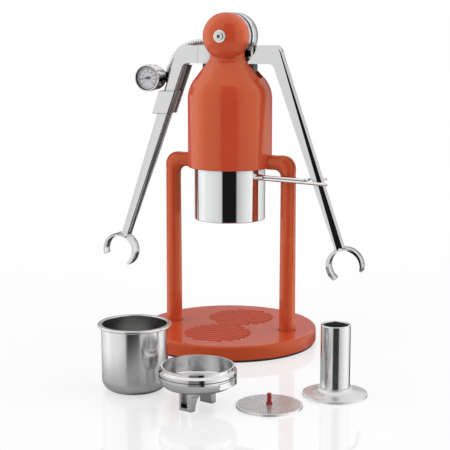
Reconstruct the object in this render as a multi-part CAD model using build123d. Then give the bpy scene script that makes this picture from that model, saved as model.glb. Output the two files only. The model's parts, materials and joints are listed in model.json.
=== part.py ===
from build123d import *
import math
import os

# Lever espresso machine with two arms, in millimetres.
# The origin is the centre of the foot on the worktop: +Z up, front at -Y, right at +X.

# Clearances
shaft_gap = 0.05
run_gap = 0.3
tip_gap = 1.0
pick_gap = 0.01
overrun = 5.0

# Base
pad_radius = 88.3
pad_thickness = 2.2
base_radius = 90.1
base_thickness = 14.1
base_edge_round = 3.2
base_under_chamfer = 0.8
relief_radius = 33.9
relief_offset = 35.6
relief_neck_width = 25.0
relief_height = 0.9
relief_rib_count = 19
relief_groove = 0.8
relief_edge_height = 0.15

# Legs
leg_offset = 62.95
leg_foot_radius = 8.3
leg_top_radius = 7.75
leg_shoulder_height = 189.1
leg_shoulder_radius = 7.45
elbow_inner_round = 7.0
elbow_outer_round = 12.6
elbow_steps = 6
foot_socket_depth = 3.0
foot_socket_gap = 0.9
leg_seat_offset = 40.6
leg_spigot_radius = 5.0
leg_spigot_length = 3.0
leg_screw_radius = 3.0
leg_screw_length = 24.0
leg_screw_head_radius = 5.0
leg_screw_head_height = 5.4
screw_socket_share = 0.5
socket_depth_share = 0.6

# Body casting
body_radius = 43.1
shoulder_rise = 6.1
body_bottom_round = 1.2
shoulder_corner_drop = 51.9
shoulder_round = 33.0
neck_radius = 20.2
neck_corner_drop = 22.1
neck_round = 8.0
axle_rise = 132.4
head_radius = 23.7
head_band_depth = 4.9
head_dome_depth = 17.4
slot_front = 8.0
slot_back = 18.8
slot_floor_drop = 41.4
rear_cheek_thickness = 7.6
rear_cheek_radius = 16.5
rear_cheek_foot_drop = 47.4
rear_cheek_round = 2.0
rod_chamber_radius = 14.0
rod_bush_bottom_drop = 81.4
rod_bush_top_drop = 59.4

# Group cylinder
cylinder_radius = 36.4
cylinder_length = 63.6
cylinder_bore_radius = 35.3
cylinder_insert = 10.0
cylinder_flange_thickness = 6.0
cylinder_flange_hole = 13.0
cylinder_edge_round = 0.9
lug_ring_radius = 34.35
lug_ring_offset = 2.2
lug_ring_thickness = 3.4
lug_gap_width = 34.0
group_screw_count = 3
group_screw_circle = 24.0
group_screw_radius = 2.5
group_screw_length = 18.0
group_screw_head_radius = 4.2
group_screw_head_height = 5.0

# Piston, rod and crosshead
rod_radius = 5.0
rod_top_drop = 53.9
bush_wall = 2.5
bush_flange_radius = 10.0
bush_flange_thickness = 2.0
piston_radius = 28.5
piston_rest_rise = 5.6
piston_thickness = 15.0
piston_edge_round = 1.5
seal_radius = 29.1
seal_height = 3.4
seal_depth = 2.6
seal_offset = 5.0
piston_screw_radius = 3.0
piston_screw_head_radius = 6.0
piston_screw_length = 30.0
piston_screw_socket_share = 0.8
crosshead_thickness = 3.0
tang_half_width = 4.0
tang_depth = 12.0
root_half_width = 10.6
head_half_width = 25.3
head_sweep_radius = 32.9
fork_half_gap = 5.2
jaw_height = 4.5
slot_wall = 2.4
tang_pin_radius = 1.5

# Axle and crank pins
axle_radius = 4.5
axle_front = 25.0
hub_bush_wall = 2.0
crank_radius = 20.0
crank_pin_radius = 2.25
crank_rest_angle = 56.0
arm_swing = 98.0
crank_pin_play_up = 1.55
crank_pin_play_down = 0.5
axle_screw_head_radius = 6.45
axle_screw_head_height = 2.8
axle_screw_flange_height = 1.2
axle_screw_flange_round = 0.7
axle_screw_button_radius = 3.9
axle_screw_button_round = 0.4
axle_screw_radius = 2.5
axle_screw_length = 12.0
axle_screw_socket_radius = 2.1
axle_screw_socket_depth = 2.4

# Arms
arm_front = 8.0
arm_back = 8.5
arm_back_tip = 4.6
hub_radius = 23.7
hub_layer_gap = 0.35
hub_inset = 0.3
bar_top_drop = 9.2
bar_bottom_drop = 27.3
relief_sweep_radius = 33.4
front_lap_width = 32.6
front_lap_round = 7.0
arm_top_reach = 54.2
arm_top_width = 12.65
arm_end_overhang = 4.0
arm_end_width = 7.43
arm_end_sink = 3.15
outer_corner_round = 9.0
inner_corner_round = 6.0
arm_taper_rise = 111.5
front_bevel_top = 0.8
front_bevel_end = 5.8
front_bevel_share = 0.49
rear_bevel_top = 5.6
rear_bevel_end = 0.3
claw_offset = 124.0
claw_drop = 226.9
claw_radius = 18.65
claw_bore_radius = 15.85
claw_bore_shift = 0.6
claw_bevel = 2.5
claw_bevel_sector = 134.0
claw_axis_angle = 290.0
claw_half_opening = 58.0

# Rest stops under the arms
stop_inner = 14.0
stop_outer = 27.5
stop_half_depth = 6.0
stop_taper = 6.5

# Keeper wire that holds the right arm down
keeper_radius = 1.6
keeper_front = 11.4
keeper_below_body = 8.3
keeper_drop = 4.2
keeper_reach = 107.5
keeper_branch_gap = 3.4
keeper_rear_reach = 101.0
keeper_branch_radius = 1.3
keeper_strand_sink = 0.15
keeper_bend_radius = 3.5
keeper_tip_share = 0.8
boss_radius = 3.1
boss_length = 5.6
boss_seat = 2.0

# Gauge
gauge_outset = 19.5
gauge_drop = 42.6
gauge_front = 17.2
bezel_radius = 13.8
bezel_depth = 6.0
bezel_lip = 1.3
gauge_case_radius = 12.9
gauge_case_back = 6.0
gauge_case_round = 2.4
gauge_wall = 1.2
lens_thickness = 1.0
lens_setback = 0.6
dial_thickness = 0.5
dial_setback = 3.6
needle_thickness = 0.4
needle_length = 8.6
needle_tail = 3.4
needle_half_width = 0.65
needle_hub_radius = 1.5
needle_rest_angle = 190.0
arbor_radius = 0.6
movement_radius = 5.0
movement_depth = 3.2
tube_coil_radius = 8.6
tube_radius = 1.2
tube_arc = 260.0
stem_radius = 4.6
stem_spigot_radius = 2.6
stem_spigot_length = 4.0

# Gauge bracket, pressure block and hose
clamp_top_drop = 55.8
clamp_bottom_drop = 79.4
clamp_front = 1.4
clamp_outer = 5.0
clamp_inner = 1.2
plate_gap = 0.6
plate_thickness = 3.0
plate_top_drop = 29.4
plate_bottom_drop = 79.4
plate_inner = 3.2
block_half_height = 5.6
block_depth = 8.0
block_outer_margin = 7.5
block_inner_margin = 3.3
block_round = 1.0
bracket_screw_radius = 1.6
bracket_screw_head_radius = 2.4
bracket_screw_head_height = 2.2
block_screw_spread = 2.75
hose_radius = 3.6
hose_valley_radius = 2.9
hose_bore_radius = 1.6
hose_rib_pitch = 2.3
hose_bend_radius = 13.0
hose_start_outset = 8.3
hose_bends = [
    (-68.8, 16.1, -20.4),
    (-51.2, 18.2, -6.9),
    (-31.0, 24.6, -6.2),
    (-15.0, 30.4, -0.8),
]
ferrule_radius = 4.1
ferrule_length = 7.0
banjo_radius = 6.6
banjo_thickness = 9.0
banjo_washer_radius = 7.4
banjo_washer_thickness = 1.4
banjo_bolt_radius = 2.6
banjo_bolt_head_radius = 5.6
banjo_bolt_head_height = 4.4
banjo_bolt_depth = 12.0

# Basket
basket_x = -20.2
basket_y = -191.6
basket_radius = 30.05
basket_height = 61.4
basket_wall = 0.8
basket_lip_radius = 33.4
basket_lip_thickness = 2.6
basket_bottom_round = 11.0
basket_hole_radius = 0.8
basket_hole_pitch = 5.4
basket_hole_rings = 3

# Portafilter
filter_x = 52.2
filter_y = -219.1
filter_turn = -14.6
filter_rim_height = 37.0
filter_rim_radius = 32.0
filter_bore_radius = 30.4
filter_band_radius = 34.0
filter_band_top = 32.6
filter_under = 18.2
filter_under_round = 9.0
filter_inner_round = 2.5
filter_floor = 3.0
filter_lug_radius = 35.0
filter_lug_height = 5.0
filter_lug_offset = 22.8
filter_lug_width = 25.0
filter_groove_height = 1.0
filter_groove_depth = 0.9
filter_groove_level = 29.2
filter_drain_radius = 2.6
spout_reach = 17.8
spout_width = 13.0
spout_channel_width = 9.6
spout_channel_depth = 4.4
spout_arch_half_width = 12.2
spout_arch_height = 13.6
spout_screw_radius = 2.0
spout_screw_head_radius = 3.6
spout_screw_head_height = 2.4

# Shower screen and its plug
screen_x = 110.6
screen_y = -198.1
screen_radius = 29.05
screen_thickness = 0.8
screen_rim_height = 2.0
screen_rim_width = 0.8
plug_radius = 1.95
plug_height = 12.0
plug_collar_radius = 2.8
plug_collar_height = 2.2
plug_foot_radius = 3.2
plug_foot_height = 0.9
plug_end_round = 0.7

# Tamper
tamper_x = 154.9
tamper_y = -145.9
tamper_radius = 29.0
tamper_height = 65.0
tamper_edge = 2.2
tamper_base_height = 8.0
tamper_tube_radius = 13.3
tamper_tube_wall = 1.1
tamper_seat_radius = 15.0
tamper_flare_share = 0.35
tamper_spigot_height = 6.0
tamper_lip_width = 2.2
tamper_lip_height = 3.0
tamper_lip_round = 1.0
tamper_screw_radius = 2.5
tamper_screw_head_radius = 4.6


def upright(radius, bottom, top, x=0, y=0):
    """A round bar along Z between two heights."""
    bar = Cylinder(radius, top - bottom, align=(Align.CENTER, Align.CENTER, Align.MIN))
    return Pos(x, y, bottom) * bar


def across(radius, front, back, x=0, z=0):
    """A round bar along Y between two depths."""
    bar = Cylinder(radius, back - front, align=(Align.CENTER, Align.CENTER, Align.MIN))
    return Pos(x, front, z) * Rot(-90, 0, 0) * bar


def sideways(radius, left, right, y=0, z=0):
    """A round bar along X between two places."""
    bar = Cylinder(radius, right - left, align=(Align.CENTER, Align.CENTER, Align.MIN))
    return Pos(left, y, z) * Rot(0, 90, 0) * bar


def block(x_range, y_range, z_range):
    """A box given by its lowest and highest X, Y and Z."""
    size = [high - low for low, high in (x_range, y_range, z_range)]
    box = Box(*size, align=(Align.MIN, Align.MIN, Align.MIN))
    return Pos(x_range[0], y_range[0], z_range[0]) * box


def plate(points, front, back):
    """A flat plate with a straight-sided outline in X and Z, between two depths."""
    face = make_face(Polyline(*[(x, z) for x, z in points], close=True))
    return Pos(0, back, 0) * extrude(Plane.XZ * face, back - front)


def turned(points, x=0, y=0):
    """A solid turned about Z from an outline of radii and heights."""
    face = make_face(Polyline(*points, close=True))
    return Pos(x, y, 0) * revolve(Plane.XZ * face, Axis.Z)


def mirror_side(solid):
    """The same piece on the other side of the machine."""
    return mirror(solid, about=Plane.YZ)


def nearest(shapes, point):
    """The vertex or edge that lies closest to a point."""
    target = Vector(*point)
    return min(shapes, key=lambda shape: (shape.center() - target).length)


def socket_screw(radius, length, head_radius, head_height):
    """A cap screw with a hexagon socket: the head under Z=0, the shank up along +Z."""
    head = upright(head_radius, -head_height, 0)
    shank = upright(radius, -head_height / 2, length)
    hexagon = RegularPolygon(head_radius * screw_socket_share, 6)
    socket = extrude(Pos(0, 0, -head_height) * hexagon, head_height * socket_depth_share)
    return head + shank - socket


def save(name, solid):
    export_step(solid, f"parts/{name}.step")


# Heights that follow from the sizes above
base_top = pad_thickness + base_thickness
foot_bottom = base_top - foot_socket_depth
body_bottom = leg_shoulder_height - shoulder_rise
axle_height = body_bottom + axle_rise
shoulder_corner_height = axle_height - shoulder_corner_drop
neck_corner_height = axle_height - neck_corner_drop
slot_floor = axle_height - slot_floor_drop
rear_cheek_foot = axle_height - rear_cheek_foot_drop
rod_bush_bottom = axle_height - rod_bush_bottom_drop
rod_bush_top = axle_height - rod_bush_top_drop
cylinder_top = body_bottom + cylinder_insert
cylinder_bottom = cylinder_top - cylinder_length
piston_bottom = cylinder_bottom + piston_rest_rise
piston_top = piston_bottom + piston_thickness
rod_top = axle_height - rod_top_drop
bar_top = axle_height - bar_top_drop
bar_bottom = axle_height - bar_bottom_drop
claw_height = axle_height - claw_drop
arm_taper_end = claw_height + claw_radius - arm_end_sink
arm_taper_start = claw_height + arm_taper_rise
keeper_height = body_bottom - keeper_below_body
gauge_height = axle_height - gauge_drop
clamp_top = axle_height - clamp_top_drop
clamp_bottom = axle_height - clamp_bottom_drop
plate_top = axle_height - plate_top_drop
plate_bottom = axle_height - plate_bottom_drop


def outer_line(z):
    """Distance of the arm's outer edge from the middle at a height."""
    share = (bar_top - z) / (bar_top - claw_height)
    return arm_top_reach + (claw_offset + arm_end_overhang - arm_top_reach) * share


def inner_line(z):
    """Distance of the arm's inner edge from the middle at a height."""
    share = (bar_top - z) / (bar_top - claw_height)
    return outer_line(z) - arm_top_width - (arm_end_width - arm_top_width) * share


# Places that follow from the sizes above
front_layer = (-arm_front + hub_inset, -crosshead_thickness / 2 - hub_layer_gap)
rear_layer = (crosshead_thickness / 2 + hub_layer_gap, slot_back - run_gap)
rear_cheek_back = slot_back + rear_cheek_thickness
dome_front = slot_front + head_band_depth + head_dome_depth
crank_x = crank_radius * math.cos(math.radians(crank_rest_angle))
crank_drop = crank_radius * math.sin(math.radians(crank_rest_angle))
crank_height = axle_height - crank_drop
crank_rise_angle = math.radians(arm_swing - crank_rest_angle)
piston_travel = crank_drop + crank_radius * math.sin(crank_rise_angle)
gauge_offset = outer_line(gauge_height) + gauge_outset
plate_front = arm_back + plate_gap
plate_back = plate_front + plate_thickness
block_back = plate_back + block_depth
block_middle = plate_back + block_depth / 2
block_outer = gauge_offset + block_outer_margin
block_inner = inner_line(gauge_height) + block_inner_margin
banjo_front = rear_cheek_back + banjo_washer_thickness
banjo_middle = banjo_front + banjo_thickness / 2


# Base

def rib_half_length(y):
    """Half the length of a relief rib: two circles joined by a neck."""
    reach = relief_radius ** 2 - (abs(y) - relief_offset) ** 2
    circle = math.sqrt(reach) if reach > 0 else 0
    neck = relief_neck_width / 2 if abs(y) < relief_offset else 0
    return max(circle, neck)


def make_base_plate():
    disc = upright(base_radius, pad_thickness, base_top)
    disc = fillet(disc.edges().group_by(Axis.Z)[-1], base_edge_round)
    disc = chamfer(disc.edges().group_by(Axis.Z)[0], base_under_chamfer)
    span = 2 * (relief_offset + relief_radius)
    pitch = span / relief_rib_count
    rib_width = pitch - relief_groove
    crown_height = relief_height - relief_edge_height
    crown_radius = ((rib_width / 2) ** 2 + crown_height ** 2) / (2 * crown_height)
    crown_middle = base_top + relief_height - crown_radius
    for i in range(relief_rib_count):
        y = (i + 0.5) * pitch - span / 2
        length = max(2 * rib_half_length(y), rib_width * 1.5)
        outline = Plane.XY.offset(base_top) * Pos(0, y) * SlotOverall(length, rib_width)
        rib = extrude(outline, relief_height)
        disc += rib & sideways(crown_radius, -length, length, y, crown_middle)
    for side in (-1, 1):
        x = side * leg_offset
        socket_radius = leg_foot_radius + foot_socket_gap
        disc -= upright(socket_radius, foot_bottom, base_top + overrun, x)
        disc -= upright(leg_screw_radius + shaft_gap, 0, base_top, x)
        head_room = leg_screw_head_radius + run_gap
        disc -= upright(head_room, 0, pad_thickness + leg_screw_head_height, x)
    return disc


def make_base_pad():
    pad = upright(pad_radius, 0, pad_thickness)
    for side in (-1, 1):
        hole = leg_screw_head_radius + run_gap
        pad -= upright(hole, -overrun, pad_thickness + overrun, side * leg_offset)
    return pad


# Legs

def elbow_outer_reach(turn):
    """Distance from the inner bend's centre to the elbow's outer side along a ray."""
    width = 2 * leg_top_radius + elbow_inner_round
    height = 2 * leg_shoulder_radius + elbow_inner_round
    if width * math.tan(turn) <= height - elbow_outer_round:
        return width / math.cos(turn)
    if height / math.tan(turn) <= width - elbow_outer_round:
        return height / math.sin(turn)
    centre = Vector(width - elbow_outer_round, 0, height - elbow_outer_round)
    along = centre.dot(Vector(math.cos(turn), 0, math.sin(turn)))
    return along + math.sqrt(along ** 2 - centre.length ** 2 + elbow_outer_round ** 2)


def elbow_section(share):
    """The elliptical section of the cast elbow at a share of its quarter turn."""
    turn = share * math.pi / 2
    bend_x = leg_offset - leg_top_radius - elbow_inner_round
    bend_z = leg_shoulder_height - leg_shoulder_radius - elbow_inner_round
    direction = Vector(math.cos(turn), 0, math.sin(turn))
    outer_reach = elbow_outer_reach(turn)
    middle = (elbow_inner_round + outer_reach) / 2
    width = (outer_reach - elbow_inner_round) / 2
    depth = leg_top_radius + (leg_shoulder_radius - leg_top_radius) * share
    plane = Plane(
        origin=Vector(bend_x, 0, bend_z) + direction * middle,
        x_dir=direction,
        z_dir=direction.cross(Vector(0, 1, 0)),
    )
    return plane * Ellipse(width, depth)


def make_leg_right():
    straight_top = leg_shoulder_height - leg_shoulder_radius - elbow_inner_round
    shoulder_end = leg_offset - leg_top_radius - elbow_inner_round
    foot = Plane.XY.offset(foot_bottom) * Pos(leg_offset, 0) * Circle(leg_foot_radius)
    top = Plane.XY.offset(straight_top) * Pos(leg_offset, 0) * Circle(leg_top_radius)
    post = loft([foot, top])
    elbow = loft([elbow_section(step / elbow_steps) for step in range(elbow_steps + 1)])
    shoulder = sideways(leg_shoulder_radius, leg_seat_offset, shoulder_end,
                        z=leg_shoulder_height)
    spigot = sideways(leg_spigot_radius, leg_seat_offset - leg_spigot_length,
                      leg_seat_offset, z=leg_shoulder_height)
    tapped = upright(leg_screw_radius, foot_bottom - overrun,
                     pad_thickness + leg_screw_head_height + leg_screw_length, leg_offset)
    return post + elbow + shoulder + spigot - tapped


def make_leg_screws():
    screw = socket_screw(leg_screw_radius - shaft_gap, leg_screw_length - tip_gap,
                         leg_screw_head_radius, leg_screw_head_height)
    seat = pad_thickness + leg_screw_head_height
    return Compound(children=[Pos(side * leg_offset, 0, seat) * screw for side in (-1, 1)])


# Body casting

def make_head_dome():
    """The domed front cheek, turned about the axle and pointing to the front."""
    bottom = Line((0, 0), (head_radius, 0))
    band = Line((head_radius, 0), (head_radius, head_band_depth))
    dome = EllipticalCenterArc((0, head_band_depth), head_radius, head_dome_depth,
                               start_angle=0, arc_size=90)
    axis = Line((0, head_band_depth + head_dome_depth), (0, 0))
    face = make_face([bottom, band, dome, axis])
    solid = revolve(Plane.XZ * face, Axis.Z)
    return Pos(0, -slot_front, axle_height) * Rot(90, 0, 0) * solid


def make_rear_cheek():
    """The cheek behind the hubs that carries the axle's rear end."""
    top = across(rear_cheek_radius, slot_back, rear_cheek_back, 0, axle_height)
    side = rear_cheek_radius
    post = block((-side, side), (slot_back, rear_cheek_back), (rear_cheek_foot, axle_height))
    cheek = top + post
    back_edges = cheek.edges().filter_by(lambda edge: edge.center().Y > rear_cheek_back - pick_gap)
    return fillet(back_edges, rear_cheek_round)


def make_body_casting():
    corners = [
        (0, body_bottom),
        (body_radius, body_bottom),
        (body_radius, shoulder_corner_height),
        (neck_radius, neck_corner_height),
        (neck_radius, axle_height - bar_top_drop),
        (0, axle_height - bar_top_drop),
    ]
    face = make_face(Polyline(*corners, close=True))
    rounds = ((1, body_bottom_round), (2, shoulder_round), (3, neck_round))
    for index, radius in rounds:
        face = fillet(nearest(face.vertices(), (*corners[index], 0)), radius)
    body = revolve(Plane.XZ * face, Axis.Z)
    reach = 2 * body_radius
    gap = block((-reach, reach), (-slot_front, slot_back), (slot_floor, axle_height + reach))
    body = body - gap + make_head_dome() + make_rear_cheek()
    body -= upright(cylinder_radius + shaft_gap, body_bottom - overrun, cylinder_top)
    body -= upright(rod_chamber_radius, body_bottom, rod_bush_bottom)
    body -= upright(rod_radius + bush_wall, body_bottom, rod_bush_top)
    body -= upright(rod_radius + run_gap, body_bottom, slot_floor + overrun)
    passage = root_half_width + run_gap
    depth = crosshead_thickness / 2 + run_gap
    body -= block((-passage, passage), (-depth, depth), (rod_bush_top, slot_floor + overrun))
    for side in (-1, 1):
        ends = sorted((side * leg_seat_offset, side * reach))
        body -= sideways(leg_shoulder_radius + shaft_gap, *ends, z=leg_shoulder_height)
        tip = side * (leg_seat_offset - leg_spigot_length)
        ends = sorted((tip, side * reach))
        body -= sideways(leg_spigot_radius + shaft_gap, *ends, z=leg_shoulder_height)
    for x, y in group_screw_places():
        body -= upright(group_screw_radius, body_bottom, cylinder_top + group_screw_length, x, y)
    back = rear_cheek_back + overrun
    body -= across(axle_radius + shaft_gap, -axle_front, back, 0, axle_height)
    tip = -dome_front - overrun
    body -= across(axle_screw_radius + shaft_gap, tip, 0, 0, axle_height)
    seat = axle_screw_head_radius + shaft_gap
    body -= across(seat, tip, -axle_screw_seat(), 0, axle_height)
    return body


def axle_screw_seat():
    """Depth from the middle to the flat on the dome where the screw's flange sits."""
    share = (axle_screw_head_radius + shaft_gap) / head_radius
    return slot_front + head_band_depth + head_dome_depth * math.sqrt(1 - share ** 2)


def group_screw_places():
    places = []
    for i in range(group_screw_count):
        angle = math.radians(90 + 360 * i / group_screw_count)
        places.append((group_screw_circle * math.cos(angle),
                       group_screw_circle * math.sin(angle)))
    return places


# Group cylinder

def make_group_cylinder():
    body = upright(cylinder_radius, cylinder_bottom, cylinder_top)
    body = fillet(body.edges().group_by(Axis.Z)[0], cylinder_edge_round)
    ceiling = cylinder_top - cylinder_flange_thickness
    body -= upright(cylinder_bore_radius, cylinder_bottom - overrun, ceiling)
    body -= upright(cylinder_flange_hole, ceiling - overrun, cylinder_top + overrun)
    low = cylinder_bottom + lug_ring_offset
    high = low + lug_ring_thickness
    lugs = upright(cylinder_bore_radius + cylinder_edge_round, low, high)
    lugs -= upright(lug_ring_radius, low - overrun, high + overrun)
    half = lug_gap_width / 2
    lugs -= block((-body_radius, body_radius), (-half, half), (low, high))
    body += lugs
    for x, y in group_screw_places():
        body -= upright(group_screw_radius + shaft_gap, ceiling - overrun,
                        cylinder_top + overrun, x, y)
    return body


def make_group_screws():
    screw = socket_screw(group_screw_radius - shaft_gap, group_screw_length,
                         group_screw_head_radius, group_screw_head_height)
    ceiling = cylinder_top - cylinder_flange_thickness
    return Compound(children=[Pos(x, y, ceiling) * screw for x, y in group_screw_places()])


# Piston, rod and crosshead

def make_rod_bush():
    bush = upright(rod_radius + bush_wall - shaft_gap, rod_bush_bottom, rod_bush_top)
    flange_bottom = rod_bush_bottom - bush_flange_thickness
    bush += upright(bush_flange_radius, flange_bottom, rod_bush_bottom)
    return bush - upright(rod_radius + shaft_gap, flange_bottom - overrun, rod_bush_top + overrun)


def make_piston_rod():
    rod = upright(rod_radius, piston_top, rod_top)
    half = crosshead_thickness / 2 + shaft_gap
    rod -= block((-2 * rod_radius, 2 * rod_radius), (-half, half),
                 (rod_top - tang_depth, rod_top + overrun))
    rod -= upright(piston_screw_radius, piston_top - overrun,
                   piston_bottom + piston_screw_length + tip_gap)
    pin_height = rod_top - tang_depth / 2
    rod -= across(tang_pin_radius + shaft_gap, -2 * rod_radius, 2 * rod_radius, 0, pin_height)
    return rod


def make_rod_pin():
    pin_height = rod_top - tang_depth / 2
    reach = math.sqrt(rod_radius ** 2 - tang_pin_radius ** 2)
    return across(tang_pin_radius, -reach, reach, 0, pin_height)


def make_piston():
    body = upright(piston_radius, piston_bottom, piston_top)
    body = fillet(body.edges().group_by(Axis.Z)[0], piston_edge_round)
    groove_low = piston_bottom + seal_offset
    groove_high = groove_low + seal_height
    groove = upright(piston_radius + overrun, groove_low, groove_high)
    groove -= upright(seal_radius - seal_depth, groove_low - overrun, groove_high + overrun)
    cone = turned([
        (0, piston_bottom),
        (piston_screw_head_radius, piston_bottom),
        (piston_screw_radius, piston_bottom + piston_screw_radius),
        (piston_screw_radius, piston_top + overrun),
        (0, piston_top + overrun),
    ])
    return body - groove - cone


def make_piston_seal():
    low = piston_bottom + seal_offset + shaft_gap
    high = piston_bottom + seal_offset + seal_height - shaft_gap
    ring = upright(seal_radius, low, high)
    ring = fillet(ring.edges(), seal_depth / 4)
    return ring - upright(seal_radius - seal_depth + shaft_gap, low - overrun, high + overrun)


def make_piston_screw():
    top = piston_bottom + piston_screw_length
    shank = piston_screw_radius - shaft_gap
    head = piston_screw_head_radius - shaft_gap
    screw = turned([
        (0, piston_bottom),
        (head, piston_bottom),
        (shank, piston_bottom + head - shank),
        (shank, top),
        (0, top),
    ])
    socket = piston_screw_radius * piston_screw_socket_share
    return screw - extrude(Pos(0, 0, piston_bottom) * RegularPolygon(socket, 6), socket)


def make_crosshead():
    """The forked plate on the rod: each crank pin runs in one of its level slots."""
    half = crosshead_thickness / 2
    slot_low = crank_height - crank_pin_radius - crank_pin_play_up
    slot_high = crank_height + crank_pin_radius + crank_pin_play_down
    head_low = slot_low - jaw_height
    head_high = slot_high + jaw_height
    head = block((-head_half_width, head_half_width), (-half, half), (head_low, head_high))
    sweep = across(head_sweep_radius, -half, half, 0, axle_height)
    head = head & sweep
    root = block((-root_half_width, root_half_width), (-half, half), (rod_top, head_low + tip_gap))
    tang = block((-tang_half_width, tang_half_width), (-half, half),
                 (rod_top - tang_depth + run_gap, rod_top + tip_gap))
    body = head + root + tang
    fork_bottom = axle_height - piston_travel - axle_radius - run_gap - shaft_gap
    gap = fork_half_gap
    body -= block((-gap, gap), (-2 * half, 2 * half), (fork_bottom, head_high + overrun))
    inner = crank_x - crank_pin_radius - run_gap
    outer = head_half_width - slot_wall
    for side in (-1, 1):
        ends = sorted((side * inner, side * outer))
        body -= block(ends, (-2 * half, 2 * half), (slot_low, slot_high))
    pin_height = rod_top - tang_depth / 2
    return body - across(tang_pin_radius + shaft_gap, -overrun, overrun, 0, pin_height)


# Axle and its screw

def make_axle():
    axle = across(axle_radius, -axle_front + shaft_gap, rear_cheek_back, 0, axle_height)
    front_end = -axle_front + axle_screw_length
    axle -= across(axle_screw_radius, -axle_front - overrun, front_end, 0, axle_height)
    back_end = rear_cheek_back + overrun
    return axle - across(banjo_bolt_radius, rear_cheek_back - banjo_bolt_depth, back_end,
                         0, axle_height)


def make_axle_screw():
    """The socket screw in the middle of the dome: a button head on a round flange."""
    seat = -axle_screw_seat()
    levels = (
        (axle_screw_head_radius, axle_screw_flange_height, axle_screw_flange_round),
        (axle_screw_button_radius, axle_screw_head_height, axle_screw_button_round),
    )
    head = None
    for radius, height, edge_round in levels:
        disc = across(radius, seat - height, seat, 0, axle_height)
        front_edges = disc.edges().filter_by(lambda edge: edge.center().Y < seat - height / 2)
        disc = fillet(front_edges, edge_round)
        head = disc if head is None else head + disc
    shank_end = -axle_front + axle_screw_length - tip_gap
    shank = across(axle_screw_radius - shaft_gap, seat, shank_end, 0, axle_height)
    start = Plane(origin=(0, seat - axle_screw_head_height, axle_height), z_dir=(0, 1, 0))
    hexagon = start * RegularPolygon(axle_screw_socket_radius, 6)
    return head + shank - extrude(hexagon, axle_screw_socket_depth)


def make_hub_bush(layer):
    front, back = layer
    outer = axle_radius + hub_bush_wall - shaft_gap
    bush = across(outer, front, back, 0, axle_height)
    return bush - across(axle_radius + shaft_gap, front - overrun, back + overrun, 0, axle_height)


# Arms

def arm_outline():
    """The level bar and the sloping part of the right arm, seen from the front."""
    corners = [
        (0, bar_top),
        (outer_line(bar_top), bar_top),
        (outer_line(arm_taper_end), arm_taper_end),
        (inner_line(arm_taper_end), arm_taper_end),
        (inner_line(bar_bottom), bar_bottom),
        (0, bar_bottom),
    ]
    face = make_face(Polyline(*corners, close=True))
    for index, radius in ((1, outer_corner_round), (4, inner_corner_round)):
        face = fillet(nearest(face.vertices(), (*corners[index], 0)), radius)
    return Plane.XZ * face


def arm_slab(front, back):
    """The arm's outline as a slab between two depths."""
    return Pos(0, back, 0) * extrude(arm_outline(), back - front)


def bevel_section(edge, width, depth):
    """A level triangle that takes a bevel off a corner: across by width, deep by depth."""
    inner = edge - Vector(width, 0, 0)
    outer = edge + Vector(0, depth, 0)
    along = (outer - inner).normalized() * overrun
    corner = edge + Vector(overrun, -math.copysign(overrun, depth), 0)
    return make_face(Polyline(inner - along, outer + along, corner, close=True))


def front_bevel_cutter():
    """The shallow bevel on the outer front edge, growing towards the claw."""
    sections = []
    for height, width in ((bar_top, front_bevel_top), (arm_taper_end, front_bevel_end)):
        edge = Vector(outer_line(height), -arm_front, height)
        sections.append(bevel_section(edge, width, width * front_bevel_share))
    return loft(sections, ruled=True)


def rear_bevel_cutter():
    """The bevel on the outer rear edge, fading out towards the claw."""
    levels = (
        (bar_top + overrun, arm_back, rear_bevel_top),
        (arm_taper_start, arm_back, rear_bevel_top),
        (arm_taper_end, arm_back_tip, rear_bevel_end),
    )
    sections = []
    for height, back, width in levels:
        edge = Vector(outer_line(height), back, height)
        sections.append(bevel_section(edge, width, -width))
    return loft(sections, ruled=True)


def claw_inner_reach(angle):
    """Distance from the claw's middle to its bore along a ray."""
    sag = claw_bore_shift * math.sin(angle)
    return claw_bore_shift * math.cos(angle) + math.sqrt(claw_bore_radius ** 2 - sag ** 2)


def claw_fan(start, turn):
    """A plate-shaped fan from the claw's middle that covers a sector of the ring."""
    reach = 2 * claw_radius
    corners = [(claw_offset, claw_height)]
    for share in (0, 0.5, 1):
        angle = math.radians(start + turn * share)
        corners.append((claw_offset + reach * math.cos(angle),
                        claw_height + reach * math.sin(angle)))
    return plate(corners, -2 * arm_front, 2 * arm_back)


def claw_bevel_cutter():
    """The arm's front bevel carried on round the outer half of the claw."""
    depth = claw_bevel * front_bevel_share
    slant = math.hypot(claw_bevel, depth)
    across_step = claw_bevel / slant * claw_bevel
    back_step = depth / slant * claw_bevel
    ring = turned([
        (claw_radius - claw_bevel - across_step, -back_step),
        (claw_radius + across_step, depth + back_step),
        (claw_radius + 2 * across_step, -2 * back_step),
    ])
    ring = Pos(claw_offset, -arm_front, claw_height) * Rot(-90, 0, 0) * ring
    outer_tip = claw_axis_angle + claw_half_opening
    return ring & claw_fan(outer_tip, claw_bevel_sector)


def make_claw():
    """The open ring at the arm's end."""
    front, back = -arm_front, arm_back_tip
    ring = across(claw_radius, front, back, claw_offset, claw_height)
    ring -= across(claw_bore_radius, front - overrun, back + overrun,
                   claw_offset + claw_bore_shift, claw_height)
    ring -= claw_fan(claw_axis_angle - claw_half_opening, 2 * claw_half_opening)
    for turn in (-claw_half_opening, claw_half_opening):
        angle = math.radians(claw_axis_angle + turn)
        inner = claw_inner_reach(angle)
        middle = (claw_radius + inner) / 2
        ring += across((claw_radius - inner) / 2, front, back,
                       claw_offset + middle * math.cos(angle),
                       claw_height + middle * math.sin(angle))
    return ring - claw_bevel_cutter()


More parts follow.
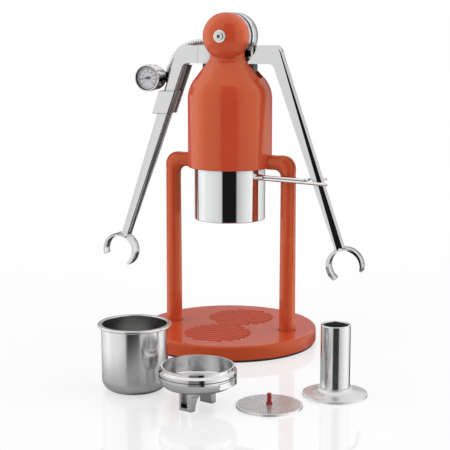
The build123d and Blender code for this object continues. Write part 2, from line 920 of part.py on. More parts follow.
def make_arm(front_hub):
    """A right-hand arm with its hub in the front or the rear layer."""
    layer = front_layer if front_hub else rear_layer
    sweep = across(relief_sweep_radius, -2 * arm_front, 2 * slot_back, 0, axle_height)
    arm = arm_slab(-arm_front, arm_back) - sweep
    if front_hub:
        step = block((0, front_lap_width), (-2 * arm_front, layer[0]), (bar_bottom, bar_top))
        outer_edges = step.edges().filter_by(Axis.Y).sort_by(Axis.X)[-2:]
        step = fillet(outer_edges.sort_by(Axis.Z)[-1:], front_lap_round)
        arm -= step
    taper = [
        (arm_back, arm_taper_start),
        (arm_back_tip, arm_taper_end),
        (arm_back_tip, arm_taper_end - overrun),
        (arm_back + overrun, arm_taper_end - overrun),
        (arm_back + overrun, arm_taper_start),
    ]
    wedge = make_face(Polyline(*taper, close=True))
    arm -= extrude(Plane.YZ * wedge, 2 * claw_offset)
    arm = arm - front_bevel_cutter() - rear_bevel_cutter()
    arm += make_claw()
    lap_back = min(layer[1], arm_back)
    lap = arm_slab(layer[0], lap_back)
    lap &= across(relief_sweep_radius + run_gap, layer[0], lap_back, 0, axle_height)
    hub = across(hub_radius, *layer, 0, axle_height)
    arm = arm + lap + hub
    bore = axle_radius + hub_bush_wall
    arm -= across(bore, layer[0] - overrun, layer[1] + overrun, 0, axle_height)
    pin_front = layer[0] - overrun if front_hub else layer[0] - tip_gap
    pin_back = layer[1] + tip_gap if front_hub else arm_back
    arm -= across(crank_pin_radius, pin_front, pin_back, crank_x, crank_height)
    return arm


def make_crank_pin(front_hub):
    """The pin in a right-hand hub that drives the crosshead."""
    reach = crosshead_thickness / 2
    radius = crank_pin_radius - shaft_gap
    if front_hub:
        return across(radius, front_layer[0], reach, crank_x, crank_height)
    return across(radius, -reach, arm_back - shaft_gap, crank_x, crank_height)


def make_arm_stops():
    stop = block((stop_inner, stop_outer), (-stop_half_depth, stop_half_depth),
                 (slot_floor, bar_bottom - run_gap))
    outer_edges = stop.edges().filter_by(Axis.Y).sort_by(Axis.X)[-2:]
    stop = chamfer(outer_edges.sort_by(Axis.Z)[:1], stop_taper)
    return Compound(children=[stop, mirror_side(stop)])


# Keeper wire

def make_keeper_boss():
    seat = math.sqrt(cylinder_radius ** 2 - keeper_front ** 2)
    boss = sideways(boss_radius, seat - boss_seat, seat + boss_length,
                    -keeper_front, keeper_height)
    boss -= upright(cylinder_radius, keeper_height - 2 * boss_radius,
                    keeper_height + 2 * boss_radius)
    return boss - keeper_bar(keeper_radius + shaft_gap, seat + boss_length / 3, keeper_reach)


def keeper_point(x, y=-keeper_front):
    """A place on the keeper wire's level at a distance from the middle."""
    return Vector(x, y, keeper_height - keeper_drop * x / keeper_reach)


def keeper_bar(radius, left, right, y=-keeper_front):
    """A straight length of the wire."""
    start = keeper_point(left, y)
    end = keeper_point(right, y)
    plane = Plane(origin=start, z_dir=end - start)
    return plane * Cylinder(radius, (end - start).length,
                            align=(Align.CENTER, Align.CENTER, Align.MIN))


def make_keeper_wire():
    """Two strands side by side: one ends in front of the right arm and one behind it."""
    seat = math.sqrt(cylinder_radius ** 2 - keeper_front ** 2)
    front_prong = keeper_bar(keeper_radius, seat + boss_length / 3, keeper_reach)
    tip = front_prong.edges().sort_by(Axis.X)[-1]
    front_prong = fillet(tip, keeper_radius * keeper_tip_share)
    fork = inner_line(keeper_height) - keeper_branch_gap
    rear = arm_back + run_gap + keeper_branch_radius
    lift = Vector(0, 0, keeper_radius + keeper_branch_radius - keeper_strand_sink)
    corners = [
        keeper_point(seat + boss_length) + lift,
        keeper_point(fork) + lift,
        keeper_point(fork, rear) + lift,
        keeper_point(keeper_rear_reach, rear) + lift,
    ]
    path = Polyline(*corners)
    for corner in corners[1:3]:
        path = fillet(nearest(path.vertices(), corner), keeper_bend_radius)
    start = Plane(origin=path @ 0, z_dir=path % 0)
    rear_prong = sweep(start * Circle(keeper_branch_radius), path=path)
    tip = rear_prong.edges().sort_by(Axis.X)[-1]
    rear_prong = fillet(tip, keeper_branch_radius * keeper_tip_share)
    return front_prong + rear_prong


# Gauge

def gauge_disc(radius, front, back):
    """A disc on the gauge's axis between two depths."""
    return across(radius, front, back, -gauge_offset, gauge_height)


def make_gauge_case():
    front = -gauge_front + lens_setback + lens_thickness + shaft_gap
    case = gauge_disc(gauge_case_radius, front, gauge_case_back)
    back_edges = case.edges().filter_by(lambda edge: edge.center().Y > gauge_case_back - pick_gap)
    case = fillet(back_edges, gauge_case_round)
    case -= gauge_disc(gauge_case_radius - gauge_wall, front - overrun,
                       gauge_case_back - 2 * gauge_wall)
    case += gauge_disc(stem_radius, gauge_case_back - gauge_wall, plate_back)
    return case + gauge_disc(stem_spigot_radius, plate_back, plate_back + stem_spigot_length)


def make_gauge_bezel():
    back = -gauge_front + bezel_depth
    ring = gauge_disc(bezel_radius, -gauge_front, back)
    front_edges = ring.edges().filter_by(lambda edge: edge.center().Y < -gauge_front + pick_gap)
    ring = fillet(front_edges, bezel_lip / 2)
    ring -= gauge_disc(bezel_radius - bezel_lip, -gauge_front - overrun, back)
    groove = -gauge_front + lens_setback
    return ring - gauge_disc(gauge_case_radius + shaft_gap, groove, back + overrun)


def make_gauge_lens():
    front = -gauge_front + lens_setback
    return gauge_disc(gauge_case_radius, front, front + lens_thickness)


def dial_face():
    return -gauge_front + dial_setback


def make_gauge_dial():
    dial = gauge_disc(gauge_case_radius - gauge_wall - shaft_gap, dial_face(),
                      dial_face() + dial_thickness)
    return dial - gauge_disc(arbor_radius + run_gap, dial_face() - overrun,
                             dial_face() + overrun)


def make_gauge_movement():
    """The block behind the dial that turns the tube's stroke into the needle's turn."""
    front = dial_face() + dial_thickness
    body = gauge_disc(movement_radius, front, front + movement_depth)
    return body - gauge_disc(arbor_radius + shaft_gap, front - overrun,
                             front + movement_depth - gauge_wall)


def make_bourdon_tube():
    """The curved pressure tube that lies round the movement."""
    middle = dial_face() + dial_thickness + movement_depth / 2
    centre = (-gauge_offset, middle, gauge_height)
    frame = Plane(origin=centre, x_dir=(0, 0, -1), z_dir=(0, 1, 0))
    path = frame * CenterArc((0, 0), tube_coil_radius, 0, tube_arc)
    start = Plane(origin=path @ 0, z_dir=path % 0)
    foot_front = gauge_case_back - 2 * gauge_wall - middle
    tube = sweep(start * Circle(tube_radius), path=path)
    root = path @ 0
    post = across(tube_radius, middle, middle + foot_front, root.X, root.Z)
    return tube + post + Pos(root.X, middle, root.Z) * Sphere(tube_radius)


def make_gauge_needle():
    """The needle with its hub and arbor."""
    front = dial_face() - 2 * needle_thickness - run_gap
    back = front + needle_thickness
    outline = [
        (-needle_tail, -needle_half_width),
        (0, -needle_half_width),
        (needle_length, 0),
        (0, needle_half_width),
        (-needle_tail, needle_half_width),
    ]
    blade = plate(outline, front, back)
    blade = Rot(0, -needle_rest_angle, 0) * blade
    blade = Pos(-gauge_offset, 0, gauge_height) * blade
    hub = gauge_disc(needle_hub_radius, front - needle_thickness, back)
    arbor_end = dial_face() + dial_thickness + movement_depth / 2
    return blade + hub + gauge_disc(arbor_radius, back, arbor_end)


# Gauge bracket, pressure block and hose

def slanted(top, bottom, outer, inner):
    """An outline that follows the left arm between two heights."""
    return [
        (-outer_line(top) - outer, top),
        (-inner_line(top) + inner, top),
        (-inner_line(bottom) + inner, bottom),
        (-outer_line(bottom) - outer, bottom),
    ]


def make_gauge_bracket(arm_left):
    """The clamp round the left arm, with the plate behind it that carries the block."""
    clamp = plate(slanted(clamp_top, clamp_bottom, clamp_outer, clamp_inner),
                  -arm_front - clamp_front, plate_back)
    back = plate(slanted(plate_top, plate_bottom, 0, plate_inner), plate_front, plate_back)
    bracket = clamp + back - arm_left
    bracket = max(bracket.solids(), key=lambda solid: solid.volume)
    for x, z in block_screw_places():
        bracket -= across(bracket_screw_radius, 0, block_back, x, z)
    return bracket


def block_screw_places():
    middle = -(outer_line(gauge_height) + block_inner) / 2
    return [(middle, gauge_height + side * block_screw_spread) for side in (-1, 1)]


def pressure_block_body():
    low = gauge_height - block_half_height
    high = gauge_height + block_half_height
    body = block((-block_outer, -block_inner), (plate_back, block_back), (low, high))
    return fillet(body.edges().filter_by(Axis.Z), block_round)


def make_pressure_block():
    high = gauge_height + block_half_height
    body = pressure_block_body()
    body -= gauge_disc(stem_spigot_radius + shaft_gap, plate_back - overrun,
                       plate_back + stem_spigot_length + shaft_gap)
    start = hose_points()[0]
    body -= upright(hose_bore_radius, gauge_height, high + overrun, start.X, start.Y)
    for x, z in block_screw_places():
        body -= across(bracket_screw_radius + shaft_gap, plate_back - overrun,
                       block_back + overrun, x, z)
    return body


def make_block_screws():
    screw = socket_screw(bracket_screw_radius - shaft_gap, block_depth + plate_thickness,
                         bracket_screw_head_radius, bracket_screw_head_height)
    screw = Rot(90, 0, 0) * screw
    return Compound(children=[Pos(x, block_back, z) * screw for x, z in block_screw_places()])


def hose_points():
    """The hose's route by hand: from the block, over the arm's corner, to the axle line."""
    block_top = gauge_height + block_half_height
    return [
        Vector(-outer_line(gauge_height) - hose_start_outset, block_middle, block_top),
        *[Vector(x, y, axle_height + rise) for x, y, rise in hose_bends],
        Vector(-banjo_radius, banjo_middle, axle_height),
    ]


def hose_route(start, end, step):
    """Places and directions along straight runs joined by tangent arcs."""
    points = hose_points()
    pieces = []
    here = points[0]
    for before, corner, after in zip(points, points[1:], points[2:]):
        along = (corner - before).normalized()
        onward = (after - corner).normalized()
        turn = math.acos(max(-1, min(1, along.dot(onward))))
        cut = hose_bend_radius * math.tan(turn / 2)
        arc_start = corner - along * cut
        pieces.append(("run", here, along, (arc_start - here).length))
        side = (onward - along * along.dot(onward)).normalized()
        pieces.append(("arc", arc_start, along, side, hose_bend_radius * turn))
        here = corner + onward * cut
    last = points[-1] - here
    pieces.append(("run", here, last.normalized(), last.length))
    total = sum(piece[-1] for piece in pieces)
    count = int((total - start - end) / step)
    places = []
    for i in range(count + 1):
        places.append(route_place(pieces, start + i * (total - start - end) / count))
    return places


def route_place(pieces, distance):
    """The point and direction at a distance along the route."""
    for piece in pieces[:-1]:
        if distance <= piece[-1]:
            break
        distance -= piece[-1]
    else:
        piece = pieces[-1]
    if piece[0] == "run":
        return piece[1] + piece[2] * distance, piece[2]
    turn = distance / hose_bend_radius
    ahead = piece[2] * math.sin(turn) + piece[3] * (1 - math.cos(turn))
    direction = piece[2] * math.cos(turn) + piece[3] * math.sin(turn)
    return piece[1] + ahead * hose_bend_radius, direction


def hose_circle(point, direction, radius):
    """A circle across the hose, with a steady X axis."""
    return Plane(origin=point, x_dir=Vector(0, 1, 0) - direction * direction.Y,
                 z_dir=direction) * Circle(radius)


def make_hose():
    """The ribbed metal hose: each rib is a ruled loft through four circles."""
    quarter = hose_rib_pitch / 4
    places = hose_route(ferrule_length, ferrule_length, quarter)
    radii = (hose_valley_radius, hose_radius, hose_radius, hose_valley_radius)
    sections = [hose_circle(*place, radii[i % 4]) for i, place in enumerate(places)]
    cover = loft(sections, ruled=True)
    bore_places = hose_route(ferrule_length, ferrule_length, hose_rib_pitch)
    bore = loft([hose_circle(*place, hose_bore_radius) for place in bore_places], ruled=True)
    return cover - bore


def ferrule(point, direction):
    """A turned collar on the hose's end."""
    plane = Plane(origin=point, z_dir=direction)
    collar = plane * Cylinder(ferrule_radius, ferrule_length,
                              align=(Align.CENTER, Align.CENTER, Align.MIN))
    bore = plane * Cylinder(hose_bore_radius, ferrule_length + overrun,
                            align=(Align.CENTER, Align.CENTER, Align.MIN))
    return collar - bore


def make_hose_ferrules():
    points = hose_points()
    along = (points[1] - points[0]).normalized()
    first = ferrule(points[0] - along, along) - pressure_block_body()
    first = max(first.solids(), key=lambda solid: solid.volume)
    base = points[-1]
    back = (points[-2] - points[-1]).normalized()
    last = ferrule(base, back) - banjo_ring()
    return Compound(children=[first, max(last.solids(), key=lambda solid: solid.volume)])


def banjo_ring():
    ring = across(banjo_radius, banjo_front, banjo_front + banjo_thickness, 0, axle_height)
    return ring


def make_banjo():
    ring = banjo_ring()
    return ring - across(banjo_bolt_radius + shaft_gap, banjo_front - overrun,
                         banjo_front + banjo_thickness + overrun, 0, axle_height)


def make_banjo_washer():
    ring = across(banjo_washer_radius, rear_cheek_back, banjo_front - shaft_gap, 0, axle_height)
    return ring - across(banjo_bolt_radius + shaft_gap, 0, banjo_front + overrun, 0, axle_height)


def make_banjo_bolt():
    head_front = banjo_front + banjo_thickness + shaft_gap
    start = Plane(origin=(0, head_front, axle_height), z_dir=(0, 1, 0))
    head = extrude(start * RegularPolygon(banjo_bolt_head_radius, 6), banjo_bolt_head_height)
    tip = rear_cheek_back - banjo_bolt_depth + tip_gap
    return head + across(banjo_bolt_radius - shaft_gap, tip, head_front, 0, axle_height)


# Basket

def make_basket():
    shell = upright(basket_radius, 0, basket_height)
    shell = fillet(shell.edges().group_by(Axis.Z)[0], basket_bottom_round)
    lip = upright(basket_lip_radius, basket_height - basket_lip_thickness, basket_height)
    lip = fillet(lip.edges(), basket_lip_thickness * 0.42)
    inner_radius = basket_radius - basket_wall
    room = upright(inner_radius, basket_wall, basket_height + overrun)
    inner_round = basket_bottom_round - basket_wall
    room = fillet(room.edges().group_by(Axis.Z)[0], inner_round)
    solid = shell + lip - room
    mouth = solid.edges().filter_by(GeomType.CIRCLE).sort_by(
        lambda edge: abs(edge.radius - inner_radius) - edge.center().Z)[0]
    solid = fillet(mouth, basket_lip_thickness * 0.3)
    for ring in range(basket_hole_rings + 1):
        count = max(1, 6 * ring)
        for i in range(count):
            angle = 2 * math.pi * i / count
            x = ring * basket_hole_pitch * math.cos(angle)
            y = ring * basket_hole_pitch * math.sin(angle)
            solid -= upright(basket_hole_radius, -overrun, basket_wall + overrun / 2, x, y)
    return Pos(basket_x, basket_y, 0) * solid


# Portafilter

def place_filter(solid):
    """Turn a piece made at the origin to where the portafilter stands."""
    return Pos(filter_x, filter_y, 0) * Rot(0, 0, filter_turn) * solid


def make_filter_bowl():
    under_corner = (filter_band_radius, filter_under)
    outline = [
        (0, filter_under),
        under_corner,
        (filter_band_radius, filter_band_top),
        (filter_rim_radius, filter_band_top + (filter_band_radius - filter_rim_radius)),
        (filter_rim_radius, filter_rim_height),
        (0, filter_rim_height),
    ]
    face = make_face(Polyline(*outline, close=True))
    face = fillet(nearest(face.vertices(), (*under_corner, 0)), filter_under_round)
    bowl = revolve(Plane.XZ * face, Axis.Z)
    for side in (-1, 1):
        lug = upright(filter_lug_radius, filter_lug_offset, filter_lug_offset + filter_lug_height)
        half = filter_lug_width / 2
        ends = sorted((0, side * 2 * filter_lug_radius))
        lug = lug & block(ends, (-half, half), (0, filter_rim_height))
        bowl += lug
    inner = upright(filter_bore_radius, filter_under + filter_floor, filter_rim_height + overrun)
    inner = fillet(inner.edges().group_by(Axis.Z)[0], filter_inner_round)
    bowl -= inner
    groove = upright(2 * filter_band_radius, filter_groove_level,
                     filter_groove_level + filter_groove_height)
    groove -= upright(filter_band_radius - filter_groove_depth, 0, filter_rim_height)
    bowl -= groove
    for side in (-1, 1):
        drain = side * (spout_reach - spout_channel_depth / 2)
        bowl -= upright(filter_drain_radius, 0, filter_rim_height, 0, drain)
    bowl -= upright(spout_screw_radius + shaft_gap, 0, filter_rim_height)
    return place_filter(bowl)


def make_spouts():
    """The bent double spout: two open channels with an arch between them."""
    half = spout_width / 2
    body = block((-half, half), (-spout_reach, spout_reach), (0, filter_under))
    arch = Ellipse(spout_arch_half_width, spout_arch_height)
    body -= Pos(overrun + half, 0, 0) * extrude(Plane.YZ * arch, -(spout_width + 2 * overrun))
    channel_half = spout_channel_width / 2
    for side in (-1, 1):
        ends = sorted((side * (spout_reach - spout_channel_depth), side * (spout_reach + overrun)))
        body -= block((-channel_half, channel_half), ends,
                      (spout_screw_head_height, filter_under + overrun))
    body -= upright(spout_screw_radius + shaft_gap, 0, filter_under + overrun)
    return place_filter(body)


def make_spout_screw():
    floor = filter_under + filter_floor
    screw = socket_screw(spout_screw_radius, floor - spout_arch_height,
                         spout_screw_head_radius, spout_screw_head_height)
    return place_filter(Pos(0, 0, floor) * Rot(180, 0, 0) * screw)


# Shower screen

def make_screen():
    top = screen_rim_height
    disc = upright(screen_radius, 0, top)
    disc = fillet(disc.edges().group_by(Axis.Z)[-1], screen_thickness / 2)
    disc -= upright(screen_radius - screen_rim_width, -overrun, top - screen_thickness)
    disc -= upright(plug_radius + shaft_gap, -overrun, top + overrun)
    return Pos(screen_x, screen_y, 0) * disc


def make_screen_plug():
    top = screen_rim_height
    stem = upright(plug_radius, plug_foot_height / 4, plug_height)
    stem = fillet(stem.edges().group_by(Axis.Z)[-1], plug_end_round)
    collar = upright(plug_collar_radius, top, top + plug_collar_height)
    collar = fillet(collar.edges().group_by(Axis.Z)[-1], plug_end_round)
    foot_top = top - screen_thickness
    foot = upright(plug_foot_radius, foot_top - plug_foot_height, foot_top)
    return Pos(screen_x, screen_y, 0) * (stem + collar + foot)


# Tamper

def make_tamper_base():
    flare = Spline(
        (tamper_seat_radius, tamper_base_height),
        (tamper_radius, tamper_edge),
        tangents=[(tamper_flare_share, -1), (1, -tamper_flare_share)],
    )
    outline = Polyline((tamper_radius, tamper_edge), (tamper_radius, 0), (0, 0),
                       (0, tamper_base_height), (tamper_seat_radius, tamper_base_height))
    face = make_face([flare, outline])
    base = revolve(Plane.XZ * face, Axis.Z)
    spigot = tamper_tube_radius - tamper_tube_wall - shaft_gap
    base += upright(spigot, tamper_base_height, tamper_base_height + tamper_spigot_height)
    base -= upright(tamper_screw_radius, tamper_base_height / 2,
                    tamper_base_height + tamper_spigot_height + overrun)
    return Pos(tamper_x, tamper_y, 0) * base


def make_tamper_handle():
    """The hollow handle, with its mouth rolled inwards."""
    tube = upright(tamper_tube_radius, tamper_base_height, tamper_height)
    inner = tamper_tube_radius - tamper_tube_wall
    tube -= upright(inner, tamper_base_height - overrun, tamper_height - tamper_lip_height)
    mouth = tamper_tube_radius - tamper_lip_width
    tube -= upright(mouth, tamper_base_height, tamper_height + overrun)
    tube = fillet(tube.edges().group_by(Axis.Z)[-1], tamper_lip_round)
    return Pos(tamper_x, tamper_y, 0) * tube


def make_tamper_screw():
    """The washer-headed screw inside the handle's foot."""
    seat = tamper_base_height + tamper_spigot_height
    screw = socket_screw(tamper_screw_radius - shaft_gap, seat - tamper_base_height / 2 - tip_gap,
                         tamper_screw_head_radius, tamper_screw_radius)
    return Pos(tamper_x, tamper_y, seat) * Rot(180, 0, 0) * screw


def main():
    os.makedirs("parts", exist_ok=True)
    leg_right = make_leg_right()
    arm_left = mirror_side(make_arm(front_hub=True))
    pieces = {
        "base_pad": make_base_pad(),
        "base_plate": make_base_plate(),
        "leg_left": mirror_side(leg_right),
        "leg_right": leg_right,
        "leg_screws": make_leg_screws(),
        "body_casting": make_body_casting(),
        "group_cylinder": make_group_cylinder(),
        "group_screws": make_group_screws(),
        "rod_bush": make_rod_bush(),
        "piston_rod": make_piston_rod(),
        "rod_pin": make_rod_pin(),
        "piston": make_piston(),
        "piston_seal": make_piston_seal(),
        "piston_screw": make_piston_screw(),
        "crosshead": make_crosshead(),
        "axle": make_axle(),
        "axle_screw": make_axle_screw(),
        "arm_left": arm_left,
        "arm_right": make_arm(front_hub=False),
        "hub_bush_left": make_hub_bush(front_layer),
        "hub_bush_right": make_hub_bush(rear_layer),
        "crank_pin_left": mirror_side(make_crank_pin(front_hub=True)),
        "crank_pin_right": make_crank_pin(front_hub=False),
        "arm_stops": make_arm_stops(),
        "keeper_boss": make_keeper_boss(),
        "keeper_wire": make_keeper_wire(),
        "gauge_case": make_gauge_case(),
        "gauge_bezel": make_gauge_bezel(),
        "gauge_lens": make_gauge_lens(),
        "gauge_dial": make_gauge_dial(),
        "gauge_movement": make_gauge_movement(),
        "gauge_bourdon_tube": make_bourdon_tube(),
        "gauge_needle": make_gauge_needle(),
        "gauge_bracket": make_gauge_bracket(arm_left),
        "pressure_block": make_pressure_block(),
        "block_screws": make_block_screws(),
        "pressure_hose": make_hose(),
        "hose_ferrules": make_hose_ferrules(),
        "hose_banjo": make_banjo(),
        "banjo_washer": make_banjo_washer(),
        "banjo_bolt": make_banjo_bolt(),
        "basket": make_basket(),
        "portafilter_bowl": make_filter_bowl(),
        "portafilter_spouts": make_spouts(),
        "spout_screw": make_spout_screw(),
        "screen_disc": make_screen(),
        "screen_plug": make_screen_plug(),
        "tamper_base": make_tamper_base(),
        "tamper_handle": make_tamper_handle(),
        "tamper_screw": make_tamper_screw(),
    }
    for name, solid in pieces.items():
        save(name, solid)


main()
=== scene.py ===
import json
import math

import bmesh
import bpy
from mathutils import Matrix, Vector


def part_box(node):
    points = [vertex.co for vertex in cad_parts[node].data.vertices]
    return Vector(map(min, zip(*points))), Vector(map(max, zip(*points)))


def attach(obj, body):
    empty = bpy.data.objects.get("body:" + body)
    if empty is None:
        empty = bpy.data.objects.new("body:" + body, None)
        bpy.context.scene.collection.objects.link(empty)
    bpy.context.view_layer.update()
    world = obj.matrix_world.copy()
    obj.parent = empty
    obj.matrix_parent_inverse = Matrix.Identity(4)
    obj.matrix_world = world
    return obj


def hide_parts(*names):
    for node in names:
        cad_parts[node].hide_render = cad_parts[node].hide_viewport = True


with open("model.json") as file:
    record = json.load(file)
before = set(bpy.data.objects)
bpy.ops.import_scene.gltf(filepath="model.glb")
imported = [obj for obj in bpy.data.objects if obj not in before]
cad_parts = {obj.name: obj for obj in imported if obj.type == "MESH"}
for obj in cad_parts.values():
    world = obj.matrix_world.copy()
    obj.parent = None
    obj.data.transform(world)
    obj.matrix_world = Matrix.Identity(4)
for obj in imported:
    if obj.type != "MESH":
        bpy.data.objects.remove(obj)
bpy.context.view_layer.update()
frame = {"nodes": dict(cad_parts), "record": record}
nodes = frame["nodes"]
MM = 0.001


def box_mm(node):
    """The lowest corner, the middle and the highest corner of a CAD node's box, in millimetres."""
    low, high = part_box(node)
    middle = [(a + b) / 2 for a, b in zip(low, high)]
    return [[round(value / MM, 2) for value in corner] for corner in (low, middle, high)]


# Shader helpers

# Most of a noise's values lie between these two
noise_low = 0.3
noise_high = 0.7
drift_detail = 3.0
fine_detail = 2.0

# How dark the painted shade in gaps and sockets gets, and how open a place is where that painted shade
# is full and where it ends
painted_shade_tone = 0.02
painted_shade_closed = 0.15
painted_shade_open = 0.75

bump_depth = 0.5 * MM


def grey(tone):
    return (tone, tone, tone, 1.0)


class Nodes:
    """A short way to add and join nodes in one node tree."""

    def __init__(self, tree):
        self.tree = tree
        tree.nodes.clear()

    def add(self, kind, inputs=None, **settings):
        node = self.tree.nodes.new(kind)
        for name, value in settings.items():
            setattr(node, name, value)
        for name, value in (inputs or {}).items():
            socket = node.inputs[name]
            if isinstance(value, bpy.types.NodeSocket):
                self.tree.links.new(value, socket)
            else:
                socket.default_value = value
        return node

    def math(self, operation, *values):
        return self.add("ShaderNodeMath", dict(enumerate(values)), operation=operation).outputs[0]

    def vector(self, operation, *values):
        return self.add("ShaderNodeVectorMath", dict(enumerate(values)), operation=operation).outputs

    def axes(self, vector):
        return self.add("ShaderNodeSeparateXYZ", {"Vector": vector}).outputs

    def texture_place(self):
        return self.add("ShaderNodeTexCoord").outputs

    def geometry(self):
        return self.add("ShaderNodeNewGeometry").outputs

    def slant(self):
        """Rises from 0 where a face is seen straight on to 1 where it is seen along itself."""
        return self.add("ShaderNodeLayerWeight", {"Blend": 0.5}).outputs["Facing"]

    def ramp(self, value, stops):
        """A colour for each value, from stops of a place and a grey tone or a colour."""
        node = self.add("ShaderNodeValToRGB", {"Fac": value})
        ramp = node.color_ramp
        while len(ramp.elements) > 1:
            ramp.elements.remove(ramp.elements[0])
        for index, (place, colour) in enumerate(stops):
            element = ramp.elements[0] if index == 0 else ramp.elements.new(place)
            element.position = place
            element.color = (*colour, 1.0) if hasattr(colour, "__len__") else grey(colour)
        return node.outputs["Color"]

    def noise(self, scale, detail, stretch=(1.0, 1.0, 1.0)):
        mapping = self.add("ShaderNodeMapping", {
            "Vector": self.texture_place()["Object"], "Scale": stretch})
        texture = self.add("ShaderNodeTexNoise", {
            "Vector": mapping.outputs["Vector"], "Scale": scale, "Detail": detail})
        return texture.outputs["Fac"]

    def drift_colour(self, drift, dark, light):
        return self.ramp(drift, [(noise_low, dark), (noise_high, light)])

    def span(self, value, low, high):
        """Stretches a value of 0 to 1 to low to high."""
        return self.span_between(value, 0.0, 1.0, low, high)

    def span_between(self, value, start, end, low, high, interpolation="LINEAR"):
        """Stretches a value of start to end to low to high."""
        node = self.add("ShaderNodeMapRange", {
            "Value": value, "From Min": start, "From Max": end, "To Min": low, "To Max": high},
            interpolation_type=interpolation)
        return node.outputs["Result"]

    def bump(self, height, strength):
        node = self.add("ShaderNodeBump", {
            "Height": height, "Strength": strength, "Distance": bump_depth})
        return node.outputs["Normal"]

    def mix(self, share, first, second, blend="MIX"):
        """One colour from two: the first at a share of 0, the second at a share of 1."""
        node = self.add("ShaderNodeMix", {0: share, 6: first, 7: second},
                        data_type="RGBA", blend_type=blend)
        return node.outputs[2]

    def crevices(self, colour, size):
        """The colour, darkened by painted shade in gaps and sockets of about that size in metres."""
        # Painted shade: ambient occlusion darkens the colour in gaps and sockets
        node = self.add("ShaderNodeAmbientOcclusion", {"Distance": size}, samples=8)
        unshaded = self.span_between(node.outputs["AO"], painted_shade_closed, painted_shade_open, 0.0, 1.0)
        return self.mix(unshaded, grey(painted_shade_tone), colour)

    def matt(self, tone):
        return self.add("ShaderNodeBsdfDiffuse", {"Color": grey(tone)}).outputs["BSDF"]

    def glossy(self, roughness):
        return self.add("ShaderNodeBsdfGlossy", {"Roughness": roughness}).outputs["BSDF"]

    def clear(self):
        return self.add("ShaderNodeBsdfTransparent").outputs["BSDF"]

    def mix_shaders(self, share, first, second):
        node = self.add("ShaderNodeMixShader", {0: share, 1: first, 2: second})
        return node.outputs["Shader"]

    def finish(self, shader):
        self.add("ShaderNodeOutputMaterial", {"Surface": shader})

    def principled(self, inputs):
        self.finish(self.add("ShaderNodeBsdfPrincipled", inputs).outputs["BSDF"])


def new_material(name):
    material = bpy.data.materials.new(name)
    material.use_nodes = True
    return material, Nodes(material.node_tree)


# Plain finishes

# Colours and roughness at both ends of a slow drift, the drift's grain per metre and, with a
# painted shade size in metres, painted shade in gaps and sockets of about that size
plain_finishes = {
    # The group cylinder, the gauge's case and the block behind it
    "polished_chrome": {
        "dark": (0.71, 0.715, 0.72), "light": (0.74, 0.745, 0.75), "rough": (0.03, 0.05),
        "grain": 40.0, "metallic": 1.0, "painted_shade_size": 0.014},
    # The gauge's bezel, the keeper and the hose's ribs
    "bright_chrome": {
        "dark": (0.80, 0.80, 0.80), "light": (0.86, 0.86, 0.86), "rough": (0.08, 0.12),
        "grain": 40.0, "metallic": 1.0, "painted_shade_size": 0.0025},
    # The portafilter's spouts
    "satin_chrome": {
        "dark": (0.70, 0.70, 0.70), "light": (0.75, 0.75, 0.755), "rough": (0.06, 0.09),
        "grain": 160.0, "metallic": 1.0, "painted_shade_size": 0.005},
    # The basket, with soft upright streaks
    "bright_steel": {
        "dark": (0.70, 0.70, 0.695), "light": (0.76, 0.76, 0.755), "rough": (0.15, 0.19),
        "grain": 90.0, "stretch": (1.0, 1.0, 0.12), "metallic": 1.0},
    # The shower screen's perforated sheet
    "screen_steel": {
        "dark": (0.84, 0.84, 0.835), "light": (0.90, 0.90, 0.895), "rough": (0.28, 0.34),
        "grain": 90.0, "metallic": 0.9},
    # The pieces inside, the hose's fittings and the spouts' screw
    "machined_steel": {
        "dark": (0.72, 0.72, 0.72), "light": (0.78, 0.78, 0.78), "rough": (0.24, 0.30),
        "grain": 120.0, "metallic": 0.8},
    # The tamper's foot
    "tamper_steel": {
        "dark": (0.69, 0.69, 0.69), "light": (0.73, 0.73, 0.73), "rough": (0.20, 0.22),
        "grain": 120.0, "metallic": 0.5},
    # The tamper's handle, with fine upright streaks
    "turned_steel": {
        "dark": (0.69, 0.69, 0.69), "light": (0.74, 0.74, 0.74), "rough": (0.13, 0.14),
        "grain": 400.0, "stretch": (1.0, 1.0, 0.02), "metallic": 0.97},
    # The other screws
    "zinc_screw": {
        "dark": (0.70, 0.69, 0.66), "light": (0.78, 0.77, 0.74), "rough": (0.12, 0.2),
        "grain": 200.0, "metallic": 1.0, "painted_shade_size": 0.004},
    # The bushes and the inside of the gauge
    "bronze": {
        "dark": (0.50, 0.30, 0.13), "light": (0.60, 0.37, 0.17), "rough": (0.25, 0.35),
        "grain": 150.0, "metallic": 1.0},
    # The stops under the arms
    "grey_nylon": {
        "dark": (0.055, 0.050, 0.052), "light": (0.075, 0.068, 0.070), "rough": (0.4, 0.5),
        "grain": 150.0},
    # The pad under the base and the piston's seal
    "black_rubber": {
        "dark": (0.010, 0.009, 0.009), "light": (0.018, 0.016, 0.016), "rough": (0.5, 0.65),
        "grain": 150.0, "bump": 0.1, "bump_grain": 700.0},
    # The screen's plug
    "red_silicone": {
        "dark": (0.25, 0.006, 0.010), "light": (0.32, 0.010, 0.014), "rough": (0.28, 0.36),
        "grain": 120.0},
    # The gauge's dial
    "dial_white": {
        "dark": (0.68, 0.67, 0.71), "light": (0.72, 0.71, 0.75), "rough": (0.35, 0.42),
        "grain": 200.0},
    # The dial's needle, marks and numbers
    "needle_black": {
        "dark": (0.012, 0.012, 0.014), "light": (0.02, 0.02, 0.022), "rough": (0.3, 0.4),
        "grain": 300.0},
}


